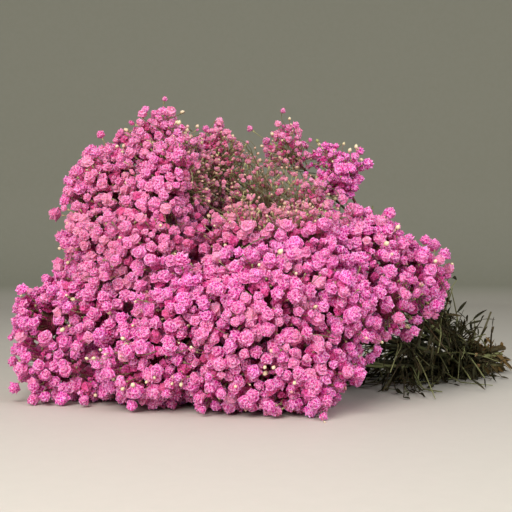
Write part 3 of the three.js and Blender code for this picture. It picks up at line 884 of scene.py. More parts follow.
def leaf_finish(stems):
    """Limp leaves: dark olive with a paler midrib, brown and withered towards the tip. Their near-black is
    partly painted shade under the blossom.
    """
    made = Finish("limp_leaf")
    edge, tone, dusk, depth = made.tint()
    grain = made.noise(180.0, 5.0, 0.7)
    skin = made.ramp(grain, (0.3, DARK_LEAF), (0.6, stems.leaf), (0.85, PALE_LEAF))
    skin = made.mix(made.times(depth, 0.25), skin, MIDRIB)
    tips = made.times(made.ramp(edge, (0.35, 0.0), (1.0, 1.0)), made.ramp(tone, (0.3, 0.1), (0.8, 0.95)))
    whole = made.times(dusk, made.ramp(tone, (0.2, 0.3), (0.6, 1.0)))
    skin = made.mix(made.maths("MAXIMUM", made.times(tips, 0.3), whole), skin, stems.dry)
    return made.finished(skin, grain, 0.5 * MM, 0.8, Roughness=0.6, Specular_IOR_Level=0.12)


def pith_finish(stems):
    """Cut ends: yellow-brown pith with darker and paler fibres."""
    made = Finish("cut_pith")
    grain = made.noise(700.0, 4.0)
    skin = made.ramp(grain, (0.3, DARK_PITH), (0.6, stems.pith), (0.85, PALE_PITH))
    return made.finished(skin, grain, 0.4 * MM, 0.8, Roughness=0.85)


def rubber_finish(band):
    """A tan elastic band, dull, with darker specks."""
    made = Finish("tan_rubber")
    grain = made.noise(500.0, 3.0)
    skin = made.ramp(grain, (0.3, [0.6 * c for c in band.colour]), (0.65, band.colour))
    return made.finished(skin, grain, 0.2 * MM, 0.4, Roughness=0.5)


# ---------------------------------------------------------------- operators: blossom


def lifted(points):
    """Copies that reach below the table are raised until they lie on it."""
    lowest = points[..., 2].min(axis=1)
    return points + np.maximum(0, TABLE_GAP - lowest)[:, None, None] * np.array([0, 0, 1.0])


def turned(shape, base, axis, scale, spin):
    """Copies of a shape that opens along +Z, turned to their axes, spun about them, scaled and placed."""
    side, up = across(axis)
    c, s = np.cos(spin)[:, None], np.sin(spin)[:, None]
    first = side * c + up * s
    second = np.cross(axis, first)
    basis = np.stack([first, second, axis], axis=1) * scale[:, None, None]
    return lifted(base[:, None] + np.einsum("nk,ckx->cnx", shape, basis))


def add_tubes(shells, paths, radii, sides, *tint):
    """Round twigs along paths, none below the table. radii is (copies, n), and the tint is as in tinted."""
    points, faces = carried(paths, radii, radii, sides)
    shells.add(lifted(points), faces, tinted(len(paths), points.shape[1], *tint), 0, True)


class GYP_OT_petals(bpy.types.Operator):
    """Covers each head with double blooms, in an outer and a deeper layer"""

    bl_idname = "gyp.petals"
    bl_label = "Petals"

    def execute(self, context):
        settings = context.scene.gyp_blooms
        material = petal_finish(settings)
        rng = np.random.default_rng([SEED, 1])
        shapes = {}
        for style, outline in OUTLINES.items():
            shapes[style] = [bloom_shape(outline, rng) for _ in range(SHAPES_EACH)]
        for index, (name, _, _) in enumerate(HEADS):
            shells = Shells()
            for layer, blooms in places_of(index).items():
                count = len(blooms["base"])
                half = (rng.random(count) < HALF_SHARE + HALF_DUSKY * blooms["dusk"]) & (layer == "outer")
                kind = rng.integers(0, SHAPES_EACH, count)
                spin = rng.uniform(0, 2 * math.pi, count)
                radii = blooms["width"] / 2 * np.where(half, 0.8, 1.0)
                small = (blooms["width"] < SMALL_SHARE * settings.width) & (layer == "outer") & ~half
                for style, chosen in ((layer, ~half & ~small), ("small", small), ("half", half)):
                    for variant, (shape, edge, faces) in enumerate(shapes[style]):
                        some = np.flatnonzero(chosen & (kind == variant))
                        base, axis = blooms["base"][some], blooms["axis"][some]
                        points = turned(shape, base, axis, radii[some], spin[some])
                        tone, dusk, depth = (blooms[key][some] for key in ("tone", "dusk", "depth"))
                        shells.add(points, faces, tinted(len(some), len(shape), edge, tone, dusk, depth))
            shells.piece(name + "_petals", "petals", [material], [name])
        return {"FINISHED"}


def twig_paths(base, axis, inward, long):
    """Bent twigs of four points, which run from inside a head out to each base and arrive along its axis.
    Share s of the way a twig is root * (1 - s) squared + 2 s (1 - s) * elbow + base * s squared."""
    share = np.array([0.0, 0.4, 0.85, 1.0])[None, :, None]
    root = (base + inward * long[:, None])[:, None]
    elbow = (base - axis * long[:, None] * 0.5)[:, None]
    return (1 - share) ** 2 * root + 2 * share * (1 - share) * elbow + share**2 * base[:, None]


RUNNER_SHARE, DUSKY_RUNNERS, THIN_RUNNERS = 0.015, 0.22, 0.12  # for each bloom, and more in a region
RUNNER_LENGTHS = (26, 58)
RUNNER_SWING = 10 * MM
GATHERED, LONELY = 3.2, 0.25  # how many times more buds than the mean stand in a clump of buds and out of it


class GYP_OT_twigs(bpy.types.Operator):
    """Gives every bloom its twig and calyx, and scatters closed buds on twigs of their own"""

    bl_idname = "gyp.twigs"
    bl_label = "Twigs and buds"

    def execute(self, context):
        blooms, settings = context.scene.gyp_blooms, context.scene.gyp_twigs
        materials = [twig_finish(settings), bud_finish(settings)]
        for index, (name, centre, _) in enumerate(HEADS):
            rng = np.random.default_rng([SEED, 2, index])
            shells = Shells()
            outer = places_of(index)["outer"]
            base, axis = outer["base"], outer["axis"]
            count = len(base)
            long = rng.uniform(14, 26, count) * MM * (1 + 0.9 * outer["dusk"])
            inward = unit(unit(centre - base) + 0.5 * unit(placed((TIE_X, 0, 20)) - base))
            paths = twig_paths(base - axis * 0.02 * outer["width"][:, None], axis, inward, long)
            thin = settings.radius
            radii = np.array([0.9 * thin, thin, 1.3 * thin, settings.calyx])
            radii = radii * rng.uniform(0.85, 1.15, count)[:, None]
            edges = np.repeat([0, 0.1, 0.6, 1.0], 3)
            add_tubes(shells, paths, radii, 3, edges, rng.random(count), outer["dusk"])
            self.add_runners(shells, outer, settings, blooms, rng)
            self.add_buds(shells, outer, inward, settings, blooms, rng)
            shells.piece(name + "_twigs", "stems", materials)
        return {"FINISHED"}

    def add_runners(self, shells, outer, settings, blooms, rng):
        """Longer bare twigs that lie between the blooms, many on the less open sprays. Share s of the way
        back from a bloom towards the band, a twig has swung aside by its own bend times s (1 - s), and has
        sunk by its length squared times s squared over 1.3 radii of a head, a little more than the surface
        round it."""
        shares = RUNNER_SHARE + DUSKY_RUNNERS * outer["dusk"] + THIN_RUNNERS * outer["thin"]
        hosts = np.flatnonzero(rng.random(len(outer["base"])) < shares)
        count = len(hosts)
        if count == 0:
            return
        base, out = outer["base"][hosts], outer["outward"][hosts]
        back = unit(placed((TIE_X, 0, TIE_HEIGHT)) - base)
        back = unit(back - out * (back * out).sum(axis=1)[:, None] + 0.35 * rng.normal(size=(count, 3)))
        part = np.linspace(0, 1, 5)[None, :, None]
        long = rng.uniform(*RUNNER_LENGTHS, count)[:, None, None] * MM
        bend = rng.normal(size=(count, 3))[:, None] * RUNNER_SWING
        start = base + out * rng.uniform(-0.2, 0.5, count)[:, None] * blooms.width
        sunk = out[:, None] * long**2 / (1.3 * RADII.mean()) * part**2
        paths = start[:, None] + back[:, None] * long * part + bend * part * (1 - part) - sunk
        radii = settings.radius * np.linspace(0.9, 1.7, 5)[None] * rng.uniform(0.8, 1.2, count)[:, None]
        add_tubes(shells, paths, radii, 3, 0.0, 0.3 * rng.random(count), outer["dusk"][hosts], 0.35)

    def add_buds(self, shells, outer, inward, settings, blooms, rng):
        """Buds stand between the blooms, on thin twigs that join their neighbours' twigs."""
        shape, faces = bud_shape()
        gathered = np.where(clumps(0.45 * outer["base"] + 0.3) > 0.35, GATHERED, LONELY)
        wish = rng.poisson(settings.bud_share * (gathered + 5 * np.maximum(outer["dusk"] - 0.3, 0)))
        host = np.repeat(np.arange(len(wish)), wish)
        count = len(host)
        if count == 0:
            return
        out, dusk = outer["outward"][host], outer["dusk"][host]
        side, up = across(out)
        angle = rng.uniform(0, 2 * math.pi, count)[:, None]
        aside = side * np.cos(angle) + up * np.sin(angle)
        stand = rng.uniform(0.1, 1.1, count) * blooms.width * (1 - 0.4 * dusk)
        away = rng.uniform(0.4, 0.8, count) * blooms.width * (1 + 0.9 * dusk)
        base = outer["base"][host] + out * stand[:, None] + aside * away[:, None]
        axis = unit(out + 0.5 * aside + 0.3 * rng.normal(size=(count, 3)))
        size = settings.bud * np.clip(rng.normal(1, 0.25, count), 0.5, 1.7) * (1 - 0.2 * dusk)
        points = turned(shape, base, axis, size * 1.35, rng.uniform(0, 6, count))
        tone = np.clip(rng.normal(0.35, 0.28, count), 0, 1)
        edges = np.repeat([0, 0.35, 0.8, 1], [1, BUD_CORNERS, BUD_CORNERS, 1])
        shells.add(points, faces, tinted(count, len(shape), edges, tone, dusk), 1, True)
        long = stand + rng.uniform(12, 20, count) * MM * (1 + 1.5 * dusk)
        paths = twig_paths(base + axis * 0.1 * size[:, None], axis, inward[host], long)
        radii = np.array([1.0, 0.9, 0.8, 1.2]) * settings.radius * np.ones((count, 1))
        add_tubes(shells, paths, radii, 3, np.repeat([0, 0.2, 0.5, 0.8], 3), rng.random(count), dusk)


HEART_UNDER = 7 * MM  # how far a heart lies under the deep blooms' bases
HEART_HEIGHT = 8 * MM  # the least height of a heart above the table


class GYP_OT_hearts(bpy.types.Operator):
    """Fills the middle of each head with its packed twigs, well under the blooms"""

    bl_idname = "gyp.hearts"
    bl_label = "Packed twigs"

    def execute(self, context):
        material = heart_finish(context.scene.gyp_twigs)
        depth = context.scene.gyp_blooms.deep_sink + HEART_UNDER
        thin = thinness(CENTRES)
        for index, (name, centre, _) in enumerate(HEADS):
            if thin[index] > THIN_ENOUGH:
                continue
            points, faces = heart_surface(triangles_of(name), centre, depth, index)
            shells = Shells()
            shells.add(points[None], faces, tinted(1, len(points)), 0, True)
            shells.piece(name + "_heart", "stems", [material])
        return {"FINISHED"}


def heart_surface(soup, centre, depth, index, around=18, rings=9):
    """A lumpy body under the blossom. Its radius in each direction of a grid of bearings and heights is the
    head's own reach there, less the depth of the blossom, and a ripple sin(5a + h) * sin(4h) is added."""
    height = (np.arange(1, rings + 1) / (rings + 1) - 0.5) * math.pi
    b, h = np.meshgrid(bearings(around), height)
    rays = np.stack([np.cos(h) * np.cos(b), np.cos(h) * np.sin(b), np.sin(h)], axis=-1).reshape(-1, 3)
    rays = np.concatenate([[[0, 0, -1.0]], rays, [[0, 0, 1.0]]])
    reach = farthest(soup - centre, rays)
    ripple = np.concatenate([[0], (2 * MM * np.sin(5 * b + index) * np.sin(4 * h)).ravel(), [0]])
    radius = np.maximum(reach - depth, 0.3 * reach) + ripple
    points = centre + rays * radius[:, None]
    points[:, 2] = np.maximum(points[:, 2], HEART_HEIGHT)
    return points, ball_faces(around, rings, rising=True)


def farthest(triangles, rays):
    """How far rays from the origin reach through triangles that surround it: the farthest crossing. Each
    crossing solves ray * t = a + u (b - a) + v (c - a)."""
    a = triangles[:, 0]
    e1 = triangles[:, 1] - a
    e2 = triangles[:, 2] - a
    p = np.cross(rays[:, None], e2[None])
    det = np.einsum("tk,rtk->rt", e1, p)
    safe = np.where(np.abs(det) < 1e-14, 1e-14, det)
    u = np.einsum("tk,rtk->rt", -a, p) / safe
    q = np.cross(-a, e1)
    v = np.einsum("rk,tk->rt", rays, q) / safe
    t = np.einsum("tk,tk->t", e2, q)[None] / safe
    hit = (u >= -1e-6) & (v >= -1e-6) & (u + v <= 1 + 1e-6) & (t > 0)
    return np.where(hit, t, 0).max(axis=1)


# ---------------------------------------------------------------- operators: stems, leaves, band


def slot_place(ring, step):
    """A slot's place across the bundle: the centre, six round it, and twelve round those."""
    if ring == 0:
        return np.zeros(2)
    corner, part = divmod(step, ring)
    at = [np.array([math.cos(n * math.pi / 3), math.sin(n * math.pi / 3)]) for n in (corner, corner + 1)]
    return (at[0] + (at[1] - at[0]) * part / ring) * ring * BUNDLE_PITCH


def fan_point(slot, target, ahead):
    """Where a line of the fan is at a distance ahead of the band."""
    part = ahead / FAN_REACH
    y, z = slot + (target - slot) * part
    return np.array([TIE_X - ahead, y, TIE_HEIGHT + z])


def spray_lines(spray):
    """A spray's slot, its stem from its cut end to its first head, and its branches from the fork to its
    other heads."""
    place, cut, heads = SPRAYS[spray]
    slot = slot_place(*place)
    targets = []
    for x, y, z, _ in heads:
        stretch = FAN_REACH / (TIE_X - x)
        targets.append(slot + (np.array([y, z - TIE_HEIGHT]) - slot) * stretch)
    mean = np.mean(targets, axis=0)
    fork = min(TIE_X - x for x, _, _, _ in heads) * FORK_SHARE
    cut_height = max(TIE_HEIGHT + slot[1] * CUT_FLARE, STEM_RADII["cut"] + 0.3)
    lines = []
    for (x, _, _, _), target in zip(heads, targets):
        rows = []
        for part in (0, 0.15, 0.3, 0.45, 0.65, 0.85, 1):
            aim = mean + (target - mean) * part * part * (3 - 2 * part)
            rows.append(fan_point(slot, aim, fork + (TIE_X - x - fork) * part))
        lines.append(np.array(rows))
    root = np.array([
        [TIE_X + cut, slot[0] * CUT_FLARE, cut_height],
        fan_point(slot, slot, -TIE_WIDTH),
        fan_point(slot, slot, TIE_WIDTH),
        fan_point(slot, mean, fork / 2),
    ])
    return slot, placed(np.concatenate([root, lines[0]])), [placed(line) for line in lines[1:]]


def smoothed(points, count):
    """A curve through the points, at equal steps along it: each stretch is a Catmull-Rom cubic."""
    padded = np.concatenate([[2 * points[0] - points[1]], points, [2 * points[-1] - points[-2]]])
    fine = []
    steps = np.linspace(0, 1, 12, endpoint=False)[:, None]
    for a, b, c, d in zip(padded, padded[1:], padded[2:], padded[3:]):
        fine.append(0.5 * (2 * b + (c - a) * steps + (2 * a - 5 * b + 4 * c - d) * steps**2
                           + (3 * b - a - 3 * c + d) * steps**3))
    fine = np.concatenate(fine + [points[-1:]])
    run = np.concatenate([[0], np.cumsum(np.linalg.norm(np.diff(fine, axis=0), axis=1))])
    at = np.linspace(0, run[-1], count)
    return np.stack([np.interp(at, run, fine[:, k]) for k in range(3)], axis=-1), at


class GYP_OT_stalks(bpy.types.Operator):
    """Grows each spray's stem with its nodes, branches, side shoots and leaves"""

    bl_idname = "gyp.stalks"
    bl_label = "Stalks"

    def execute(self, context):
        settings = context.scene.gyp_stems
        materials = [stem_finish(settings), leaf_finish(settings), pith_finish(settings)]
        for spray in range(len(SPRAYS)):
            rng = np.random.default_rng([SEED, 3, spray])
            shells = Shells()
            slot, stem, branches = spray_lines(spray)
            path, run = smoothed(stem, 72)
            add_stem(shells, path, run, STEM_RADII["cut"], settings, rng, True)
            for branch in branches:
                add_stem(shells, *smoothed(branch, 36), STEM_RADII["fork"], settings, rng, False)
            add_main_shoots(shells, stem, slot, spray, settings, rng)
            add_shoots(shells, stem, slot, settings, rng)
            add_leaves(shells, path, slot, settings, rng)
            if spray == STUB_SPRAY:
                add_stub(shells)
            shells.piece(f"spray_{spray + 1:02d}_stalk", "stems", materials, [f"spray_{spray + 1:02d}_stem"])
        return {"FINISHED"}


NODE_WIDTH, NODE_SWELLING = 2.6 * MM, 0.32  # a swollen node's Gaussian width, and its share of the radius
SWAY = 0.8 * MM
BROWNED = 60 * MM  # how far a stem is browned from its cut end
RIM_SHARE = 0.72  # the radius of the pith's disc, as a share of the cut end's
DISC_DEPTH = 0.3 * MM


def add_stem(shells, path, run, first, settings, rng, cut, sides=8):
    """A stem that thins from its root to its tip, with a swelling of Gaussian outline at each node. It sways
    a little, but not where it leaves the band or its fork. Its cut end is a sunken disc of pith in a rim."""
    part = run / run[-1]
    radius = (first + (STEM_RADII["tip"] - first) * part**0.8) * MM
    nodes = np.arange(rng.uniform(0.3, 0.8) * settings.node_gap, run[-1], settings.node_gap)
    swelling = np.exp(-(((run[:, None] - nodes) / NODE_WIDTH) ** 2)).sum(axis=1)
    radius = radius * (1 + NODE_SWELLING * swelling)
    aside, rise = np.sin(run * 90 + rng.uniform(0, 6)), np.cos(run * 70 + rng.uniform(0, 6))
    held = np.clip((run - 0.09) / 0.08 if cut else run / 0.05, 0, 1)[:, None]
    path = path + np.stack([0 * run, aside, rise], axis=-1) * SWAY * held
    points, (walls, root, tip) = carried(path[None], radius[None], radius[None], sides)
    dye = np.repeat(np.clip((part - 0.45) * 2, 0, 1), sides)
    brown = np.repeat(np.clip(1 - run / BROWNED, 0, 1) if cut else 0 * run, sides)
    tint = tinted(1, points.shape[1], dye, rng.random(), brown)
    shells.add(points, [walls, tip], tint, 0, True)
    if not cut:
        shells.add(points, [root], tint)
        return
    rim = points[0, :sides]
    middle = rim.mean(axis=0)
    disc = middle + (rim - middle) * RIM_SHARE + unit(path[1] - path[0]) * DISC_DEPTH
    ring = np.arange(sides)
    following = (ring + 1) % sides
    slope = np.stack([following, ring, ring + sides, following + sides], axis=-1)
    cap = np.concatenate([rim, disc])[None]
    shells.add(cap, [slope, (sides + ring[::-1])[None]], tinted(1, 2 * sides), 2)


ARCHES = 4  # bare arching shoots on each outer stem
WITHERED = 4  # withered leaves behind the band on each outer stem
LEAVES = 14
STUB = placed([(262, 0, 34), (274, -5, 58), (288, -7, 86)])
STUB_RADIUS = 1.5 * MM
STUB_SPRAY = 10
SHOOT_PLACES = (-32, 18, 58)
SHOOT_LENGTHS = (74, 92, 108)
SHOOT_LEANS = (0.5, 0.8, 1.1)
SHOOT_SPREADS = (-0.55, 0.2, -0.15, 0.6)
SHOOT_DROOP = 14 * MM
SHOOT_HEIGHT = 27 * MM  # the least height that a main shoot's line aims at
LEAFY_LEAST = 1.5 * BUNDLE_PITCH
LEAFY_LOWEST = -0.6
SHOOTS_HIGHEST = 0.115  # metres above the table; the stems are bare above that
PART_HEIGHTS = {"shoot": 2.2 * MM, "leaf": 1.8 * MM}  # the least heights of their lines above the table


def outward_of(slot):
    """The way out of the bundle from a slot."""
    return np.concatenate([[0.0], slot]) / (np.linalg.norm(slot) + 1e-6)


def stem_place(stem, ahead):
    """A stem's points at distances ahead of the band, and its directions there."""
    along, aside, height = stem[::-1].T
    x = placed((TIE_X, 0, 0))[0] - ahead * MM
    here, beyond = (
        np.stack([at, np.interp(at, along, aside), np.interp(at, along, height)], axis=-1)
        for at in (x, x - MM)
    )
    return here, unit(beyond - here)


def add_main_shoots(shells, stem, slot, spray, settings, rng):
    """The two largest side shoots of a stem in the bundle's outer ring. They start out straight, leaning
    forwards by their lean, and have dropped by the droop times s squared at share s of their length."""
    if np.linalg.norm(slot) < LEAFY_LEAST or slot[1] / np.linalg.norm(slot) < LEAFY_LOWEST:
        return
    turn = np.arange(2)
    root, along = stem_place(stem, np.take(SHOOT_PLACES, (spray + turn) % 3))
    long = np.take(SHOOT_LENGTHS, (spray + 2 * turn) % 3) * MM
    bearing = math.atan2(slot[1], slot[0]) + np.take(SHOOT_SPREADS, (spray + 2 * turn) % 4)
    lean = np.take(SHOOT_LEANS, (2 * spray + turn) % 3)
    heading = unit(np.stack([0 * bearing, np.cos(bearing), np.sin(bearing)], axis=-1) + along * lean[:, None])
    heading[:, 2] = np.maximum(heading[:, 2], (SHOOT_HEIGHT - root[:, 2]) / long)
    grow_shoots(shells, root, unit(heading), long, 1.6 * MM, settings, rng, SHOOT_DROOP, 0.04)


def add_shoots(shells, stem, slot, settings, rng):
    """Finer side shoots round the stem, from behind the band to the blossom."""
    leafy = np.linalg.norm(slot) >= LEAFY_LEAST
    outward = outward_of(slot)
    count = 26 + int(14 * max(outward[2], 0)) if leafy else 9
    root, along = stem_place(stem, rng.uniform(-30, 215, count))
    low = root[:, 2] < SHOOTS_HIGHEST
    aside = unit(rng.normal(size=(count, 3)) * [0.3, 1, 1] + 1.5 * outward + [0, 0, 0.45])
    heading = unit(aside + along * rng.uniform(0.35, 1.5, count)[:, None])
    ahead = (placed((TIE_X, 0, 0))[0] - root[:, 0]) / (130 * MM)
    long = settings.shoot_length * rng.uniform(0.4, 1.1, count) * np.clip(0.55 + 1.2 * ahead, 0.32, 1)
    thick = settings.shoot_radius
    grow_shoots(shells, root[low], heading[low], long[low], thick, settings, rng, 18 * MM, 0.3)
    if leafy:
        root, along = stem_place(stem, rng.uniform(10, 200, ARCHES))
        heading = unit(outward + 0.8 * along + [0, 0, 0.3] + 0.4 * rng.normal(size=(ARCHES, 3)))
        long = settings.shoot_length * rng.uniform(0.7, 1.2, ARCHES)
        grow_shoots(shells, root, heading, long, 1.2 * thick, settings, rng, 24 * MM, 0.45, True)


def grow_shoots(shells, root, heading, long, thick, settings, rng, droop, bend, bare=False):
    """Shoots and their leaves, or bare light ones. At share s of its length a shoot is at root + heading *
    long * s, moved by a bend of its own times s squared and dropped by droop times s squared."""
    count = len(root)
    part = np.linspace(0, 1, 7)[None, :, None]
    turn = unit(rng.normal(size=(count, 3)))[:, None] * bend
    fall = np.array([0, 0, 1.0]) * droop * part**2
    paths = root[:, None] + long[:, None, None] * (heading[:, None] * part + turn * part**2) - fall
    paths[..., 2] = np.maximum(paths[..., 2], PART_HEIGHTS["shoot"])
    radii = thick * (1 - 0.55 * part[..., 0]) * rng.uniform(0.8, 1.15, count)[:, None]
    tone = rng.uniform(0.8, 1.0, count) if bare else rng.random(count)
    add_tubes(shells, paths, radii, 4, 0.1, tone, rng.random(count) * 0.4)
    if bare:
        return
    pairs = paths[:, [2, 4, 6]].reshape(-1, 3)
    headings = unit(np.repeat(heading, 3, axis=0) + 0.75 * unit(rng.normal(size=(count * 3, 3))))
    add_blades(shells, pairs, headings, 0.62 * settings.leaf_length, 0.68 * settings.leaf_width, rng)


def add_leaves(shells, path, slot, settings, rng):
    """Narrow leaves along the stem ahead of the band, and short withered ones behind it."""
    at = (rng.uniform(0.10, 0.46, LEAVES) * (len(path) - 1)).astype(int)
    at = at[path[at, 2] < SHOOTS_HIGHEST]
    root = path[at]
    along = unit(path[at + 1] - root)
    outward = outward_of(slot)
    headings = unit(0.9 * along + 0.9 * outward + 0.8 * rng.normal(size=(len(at), 3)))
    add_blades(shells, root, headings, settings.leaf_length, settings.leaf_width, rng)
    if np.linalg.norm(slot) >= LEAFY_LEAST:
        root = path[rng.integers(1, 5, WITHERED)]
        headings = unit(1.2 * outward + [0.5, 0, 0] + 0.7 * rng.normal(size=(WITHERED, 3)))
        add_blades(shells, root, headings, 0.52 * settings.leaf_length, 1.08 * settings.leaf_width, rng)


def add_stub(shells):
    """A bare broken side shoot that stands up behind the band: a tube along a curve through three points."""
    path, _ = smoothed(STUB, 10)
    add_tubes(shells, path[None], STUB_RADIUS * np.linspace(1.1, 0.85, 10)[None], 6, 0.1, 0.72, 0.2)


def add_blades(shells, roots, headings, long, wide, rng, rings=6):
    """Narrow blades folded along their midrib. At share s of its length a blade is wide * (0.25 + 3 s (1 - s)
    (1.15 - 0.4 s)) across, and it has drooped by droop * s squared and swung aside by swing * s squared."""
    count = len(roots)
    part = np.linspace(0, 1, rings)[None, :, None]
    longs = (long * rng.uniform(0.6, 1.25, count))[:, None, None]
    droop = rng.uniform(0.05, 0.55, count)[:, None, None]
    swing = unit(rng.normal(size=(count, 3)))[:, None] * rng.uniform(0.05, 0.3, count)[:, None, None]
    fall = np.array([0, 0, 1.0]) * droop * part**2
    paths = roots[:, None] + longs * (headings[:, None] * part - fall + swing * part**2)
    paths[..., 2] = np.maximum(paths[..., 2], PART_HEIGHTS["leaf"])
    outline = 0.25 + 3.0 * part[..., 0] * (1 - part[..., 0]) * (1.15 - 0.4 * part[..., 0])
    outline[..., -1] = 0.06
    half = outline * wide * 0.5 * rng.uniform(0.7, 1.2, count)[:, None]
    up = unit(rng.normal(size=(count, 3)) * 0.5 + np.array([0, 0, 1.0]))
    points, faces = carried(paths, half, np.full_like(half, 0.22 * MM), 4, up, 0.35)
    dried = np.clip((roots[:, 0] - band_low[0]) / (30 * MM), 0, 1) + 0.15 * rng.random(count)
    edges, ribs = np.repeat(part[0, :, 0], 4), np.tile([0.0, 1.0, 0.0, 1.0], rings)
    tint = tinted(count, points.shape[1], edges, rng.random(count), np.minimum(dried, 1), ribs)
    shells.add(lifted(points), faces, tint, 1)


BAND_AROUND, BAND_SECTION = 72, 10
BAND_THICK = 1.3 * MM
BAND_LEANS = (0.10, -0.06, 0.08)  # how far the turns lean over each other, as shares of their width


def squared(wave):
    """A sine or cosine that stays longer near its ends, which makes a circle squarer."""
    return np.sign(wave) * np.abs(wave) ** 0.6


class GYP_OT_band(bpy.types.Operator):
    """Winds the elastic band round the stems"""

    bl_idname = "gyp.band"
    bl_label = "Elastic band"

    def execute(self, context):
        settings = context.scene.gyp_band
        turns = int(settings.turns)
        wide = (band_high[0] - band_low[0]) / turns
        outer = (band_high[2] - band_low[2]) / 2
        a, c = np.meshgrid(bearings(BAND_AROUND), bearings(BAND_SECTION), indexing="ij")
        walls = strips(BAND_AROUND + 1, BAND_SECTION) % (BAND_AROUND * BAND_SECTION)
        shells = Shells()
        for turn in range(turns):
            middle = band_low[0] + wide * (turn + 0.5)
            lean = BAND_LEANS[turn % 3] * wide
            half = BAND_THICK / 2
            radius = outer - half + half * squared(np.sin(c)) - 0.12 * MM * (1 + np.sin(3 * a + turn))
            along = middle + lean * np.sin(a + turn) + wide * 0.44 * squared(np.cos(c))
            points = [along, band_centre[1] + radius * np.cos(a), band_centre[2] + radius * np.sin(a)]
            shells.add(np.stack(points, axis=-1).reshape(1, -1, 3), [walls], tinted(1, a.size), 0, True)
        shells.piece("elastic_band", "band", [rubber_finish(settings)], ["tie_band"])
        return {"FINISHED"}


# ---------------------------------------------------------------- operators: the stage

CAMERA_PLACE = band_centre + np.array([-0.950, -0.877, 0])
CAMERA_HEIGHT = 0.165
CAMERA_BEARING = math.radians(34)
SENSOR = 36.0
FLOOR_RADIUS = 2.1
SWEEP_RADIUS = 0.45
WALL_TOP = 3.0
PAINT_TURN = 0.06  # the height at which the floor's paint has turned into the backdrop's
SKY_TINT = (0.95, 0.97, 1.0, 1)
# How far each light is to the right of the blossom's heart, ahead of it and above it, its size and its tint.
LIGHTS = {
    "key": ((-0.62, -1.45, 1.05), 1.3, (1.0, 0.97, 0.93)),
    "fill": ((1.35, -1.15, 0.85), 1.0, (0.93, 0.96, 1.0)),
}


class GYP_OT_stage(bpy.types.Operator):
    """Lays the floor and backdrop, hangs the lights and sets up the camera"""

    bl_idname = "gyp.stage"
    bl_label = "Stage"

    def execute(self, context):
        settings = context.scene.gyp_stage
        make_sweep(settings)
        forward = np.array([math.sin(CAMERA_BEARING), math.cos(CAMERA_BEARING), 0])
        right = np.array([forward[1], -forward[0], 0])
        for name, ((aside, ahead, above), size, tint) in LIGHTS.items():
            place = CLOUD_HEART + (aside * right + ahead * forward + above * np.array([0, 0, 1.0]))
            add_light(name, place, size, getattr(settings, name), tint)
        self.set_sky(context, settings)
        self.add_camera(context, settings)
        context.scene.view_settings.view_transform = "Standard"
        return {"FINISHED"}

    def set_sky(self, context, settings):
        """Light from all round."""
        world = bpy.data.worlds.new("soft_sky")
        world.use_nodes = True
        back = world.node_tree.nodes["Background"]
        back.inputs["Color"].default_value = SKY_TINT
        back.inputs["Strength"].default_value = settings.sky
        context.scene.world = world

    def add_camera(self, context, settings):
        """A level camera at the front left of the bunch."""
        data = bpy.data.cameras.new("camera")
        data.sensor_width = SENSOR
        data.lens = settings.lens
        camera = bpy.data.objects.new("camera", data)
        camera.location = (CAMERA_PLACE[0], CAMERA_PLACE[1], CAMERA_HEIGHT)
        camera.rotation_euler = (math.pi / 2, 0, -CAMERA_BEARING)
        context.scene.collection.objects.link(camera)
        context.scene.camera = camera


def make_sweep(settings, around=96):
    """A round floor that turns up into a wall: a profile of radius and height, spun about the vertical."""
    bend = np.linspace(0, math.pi / 2, 10)
    rise = FLOOR_RADIUS + SWEEP_RADIUS * np.sin(bend)
    radius = np.concatenate([[0.02, 1.0], rise, [FLOOR_RADIUS + SWEEP_RADIUS]])
    height = np.concatenate([[0, 0], SWEEP_RADIUS * (1 - np.cos(bend)), [WALL_TOP]])
    angle = bearings(around)
    centre = np.array([*CLOUD_HEART[:2], 0])
    flat = np.stack([np.cos(angle), np.sin(angle), np.zeros(around)], axis=-1)
    points = centre + radius[:, None, None] * flat + height[:, None, None] * np.array([0, 0, 1.0])
    walls = turned_over(strips(len(radius), around))
    mesh = bpy.data.meshes.new("sweep")
    mesh.from_pydata(points.reshape(-1, 3).tolist(), [], walls.tolist() + [list(range(around))])
    mesh.polygons.foreach_set("use_smooth", np.ones(len(mesh.polygons), bool))
    sweep = bpy.data.objects.new("sweep", mesh)
    made = Finish("painted_sweep")
    split = made.node("ShaderNodeSeparateXYZ", Vector=made.place)
    paint = made.ramp(split.outputs["Z"], (0.0, settings.floor), (PAINT_TURN, settings.backdrop))
    paint = made.mix(made.ramp(made.noise(60.0, 6.0), (0.35, 0.0), (0.75, 0.10)), paint, DUST)
    made.fill(made.shader.inputs["Base Color"], paint)
    made.shader.inputs["Roughness"].default_value = 0.62
    mesh.materials.append(made.material)
    bpy.context.scene.collection.objects.link(sweep)
    return sweep


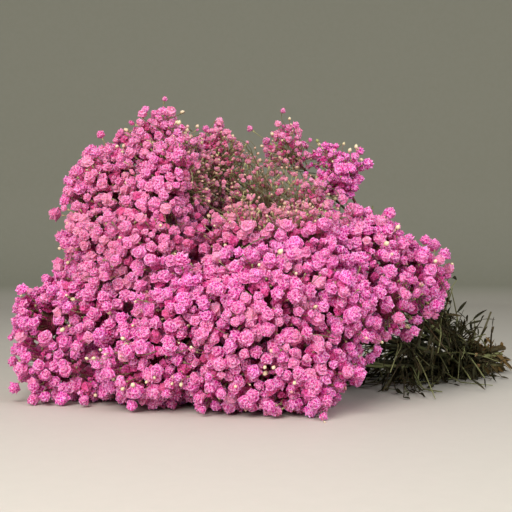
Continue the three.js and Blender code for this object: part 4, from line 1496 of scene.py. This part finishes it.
def add_light(name, place, size, power, tint):
    """A square soft light that faces the blossom, and isn't seen itself."""
    data = bpy.data.lights.new(name, "AREA")
    data.size = size
    data.energy = power
    data.color = tint
    light = bpy.data.objects.new(name, data)
    light.location = place
    light.rotation_euler = Vector(CLOUD_HEART - place).to_track_quat("-Z", "Y").to_euler()
    light.visible_camera = False
    bpy.context.scene.collection.objects.link(light)


# ---------------------------------------------------------------- the add-on


class GYP_PT_panel(bpy.types.Panel):
    """Lists the steps and their settings"""

    bl_idname = "GYP_PT_panel"
    bl_label = "Gypsophila bunch"
    bl_space_type = "VIEW_3D"
    bl_region_type = "UI"
    bl_category = "Gypsophila"

    def draw(self, context):
        for group, steps in STEPS:
            box = self.layout.box()
            settings = getattr(context.scene, group)
            for name in type(settings).__annotations__:
                box.prop(settings, name)
            for step in steps:
                box.operator(step.bl_idname)


STEPS = [
    ("gyp_stage", [GYP_OT_stage]),
    ("gyp_blooms", [GYP_OT_petals]),
    ("gyp_twigs", [GYP_OT_twigs, GYP_OT_hearts]),
    ("gyp_stems", [GYP_OT_stalks]),
    ("gyp_band", [GYP_OT_band]),
]
SETTINGS = {
    "gyp_stage": GypStageSettings,
    "gyp_blooms": GypBloomSettings,
    "gyp_twigs": GypTwigSettings,
    "gyp_stems": GypStemSettings,
    "gyp_band": GypBandSettings,
}


def register():
    """Adds the settings, the operators and the panel."""
    for name, settings in SETTINGS.items():
        bpy.utils.register_class(settings)
        setattr(bpy.types.Scene, name, PointerProperty(type=settings))
    for _, steps in STEPS:
        for step in steps:
            bpy.utils.register_class(step)
    bpy.utils.register_class(GYP_PT_panel)


def unregister():
    """Takes out what register added, in the opposite order."""
    bpy.utils.unregister_class(GYP_PT_panel)
    for _, steps in reversed(STEPS):
        for step in reversed(steps):
            bpy.utils.unregister_class(step)
    for name, settings in reversed(SETTINGS.items()):
        delattr(bpy.types.Scene, name)
        bpy.utils.unregister_class(settings)


def main():
    """Registers the add-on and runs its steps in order."""
    register()
    bpy.ops.gyp.stage()
    bpy.ops.gyp.petals()
    bpy.ops.gyp.twigs()
    bpy.ops.gyp.hearts()
    bpy.ops.gyp.stalks()
    bpy.ops.gyp.band()


if __name__ == "__main__":
    main()
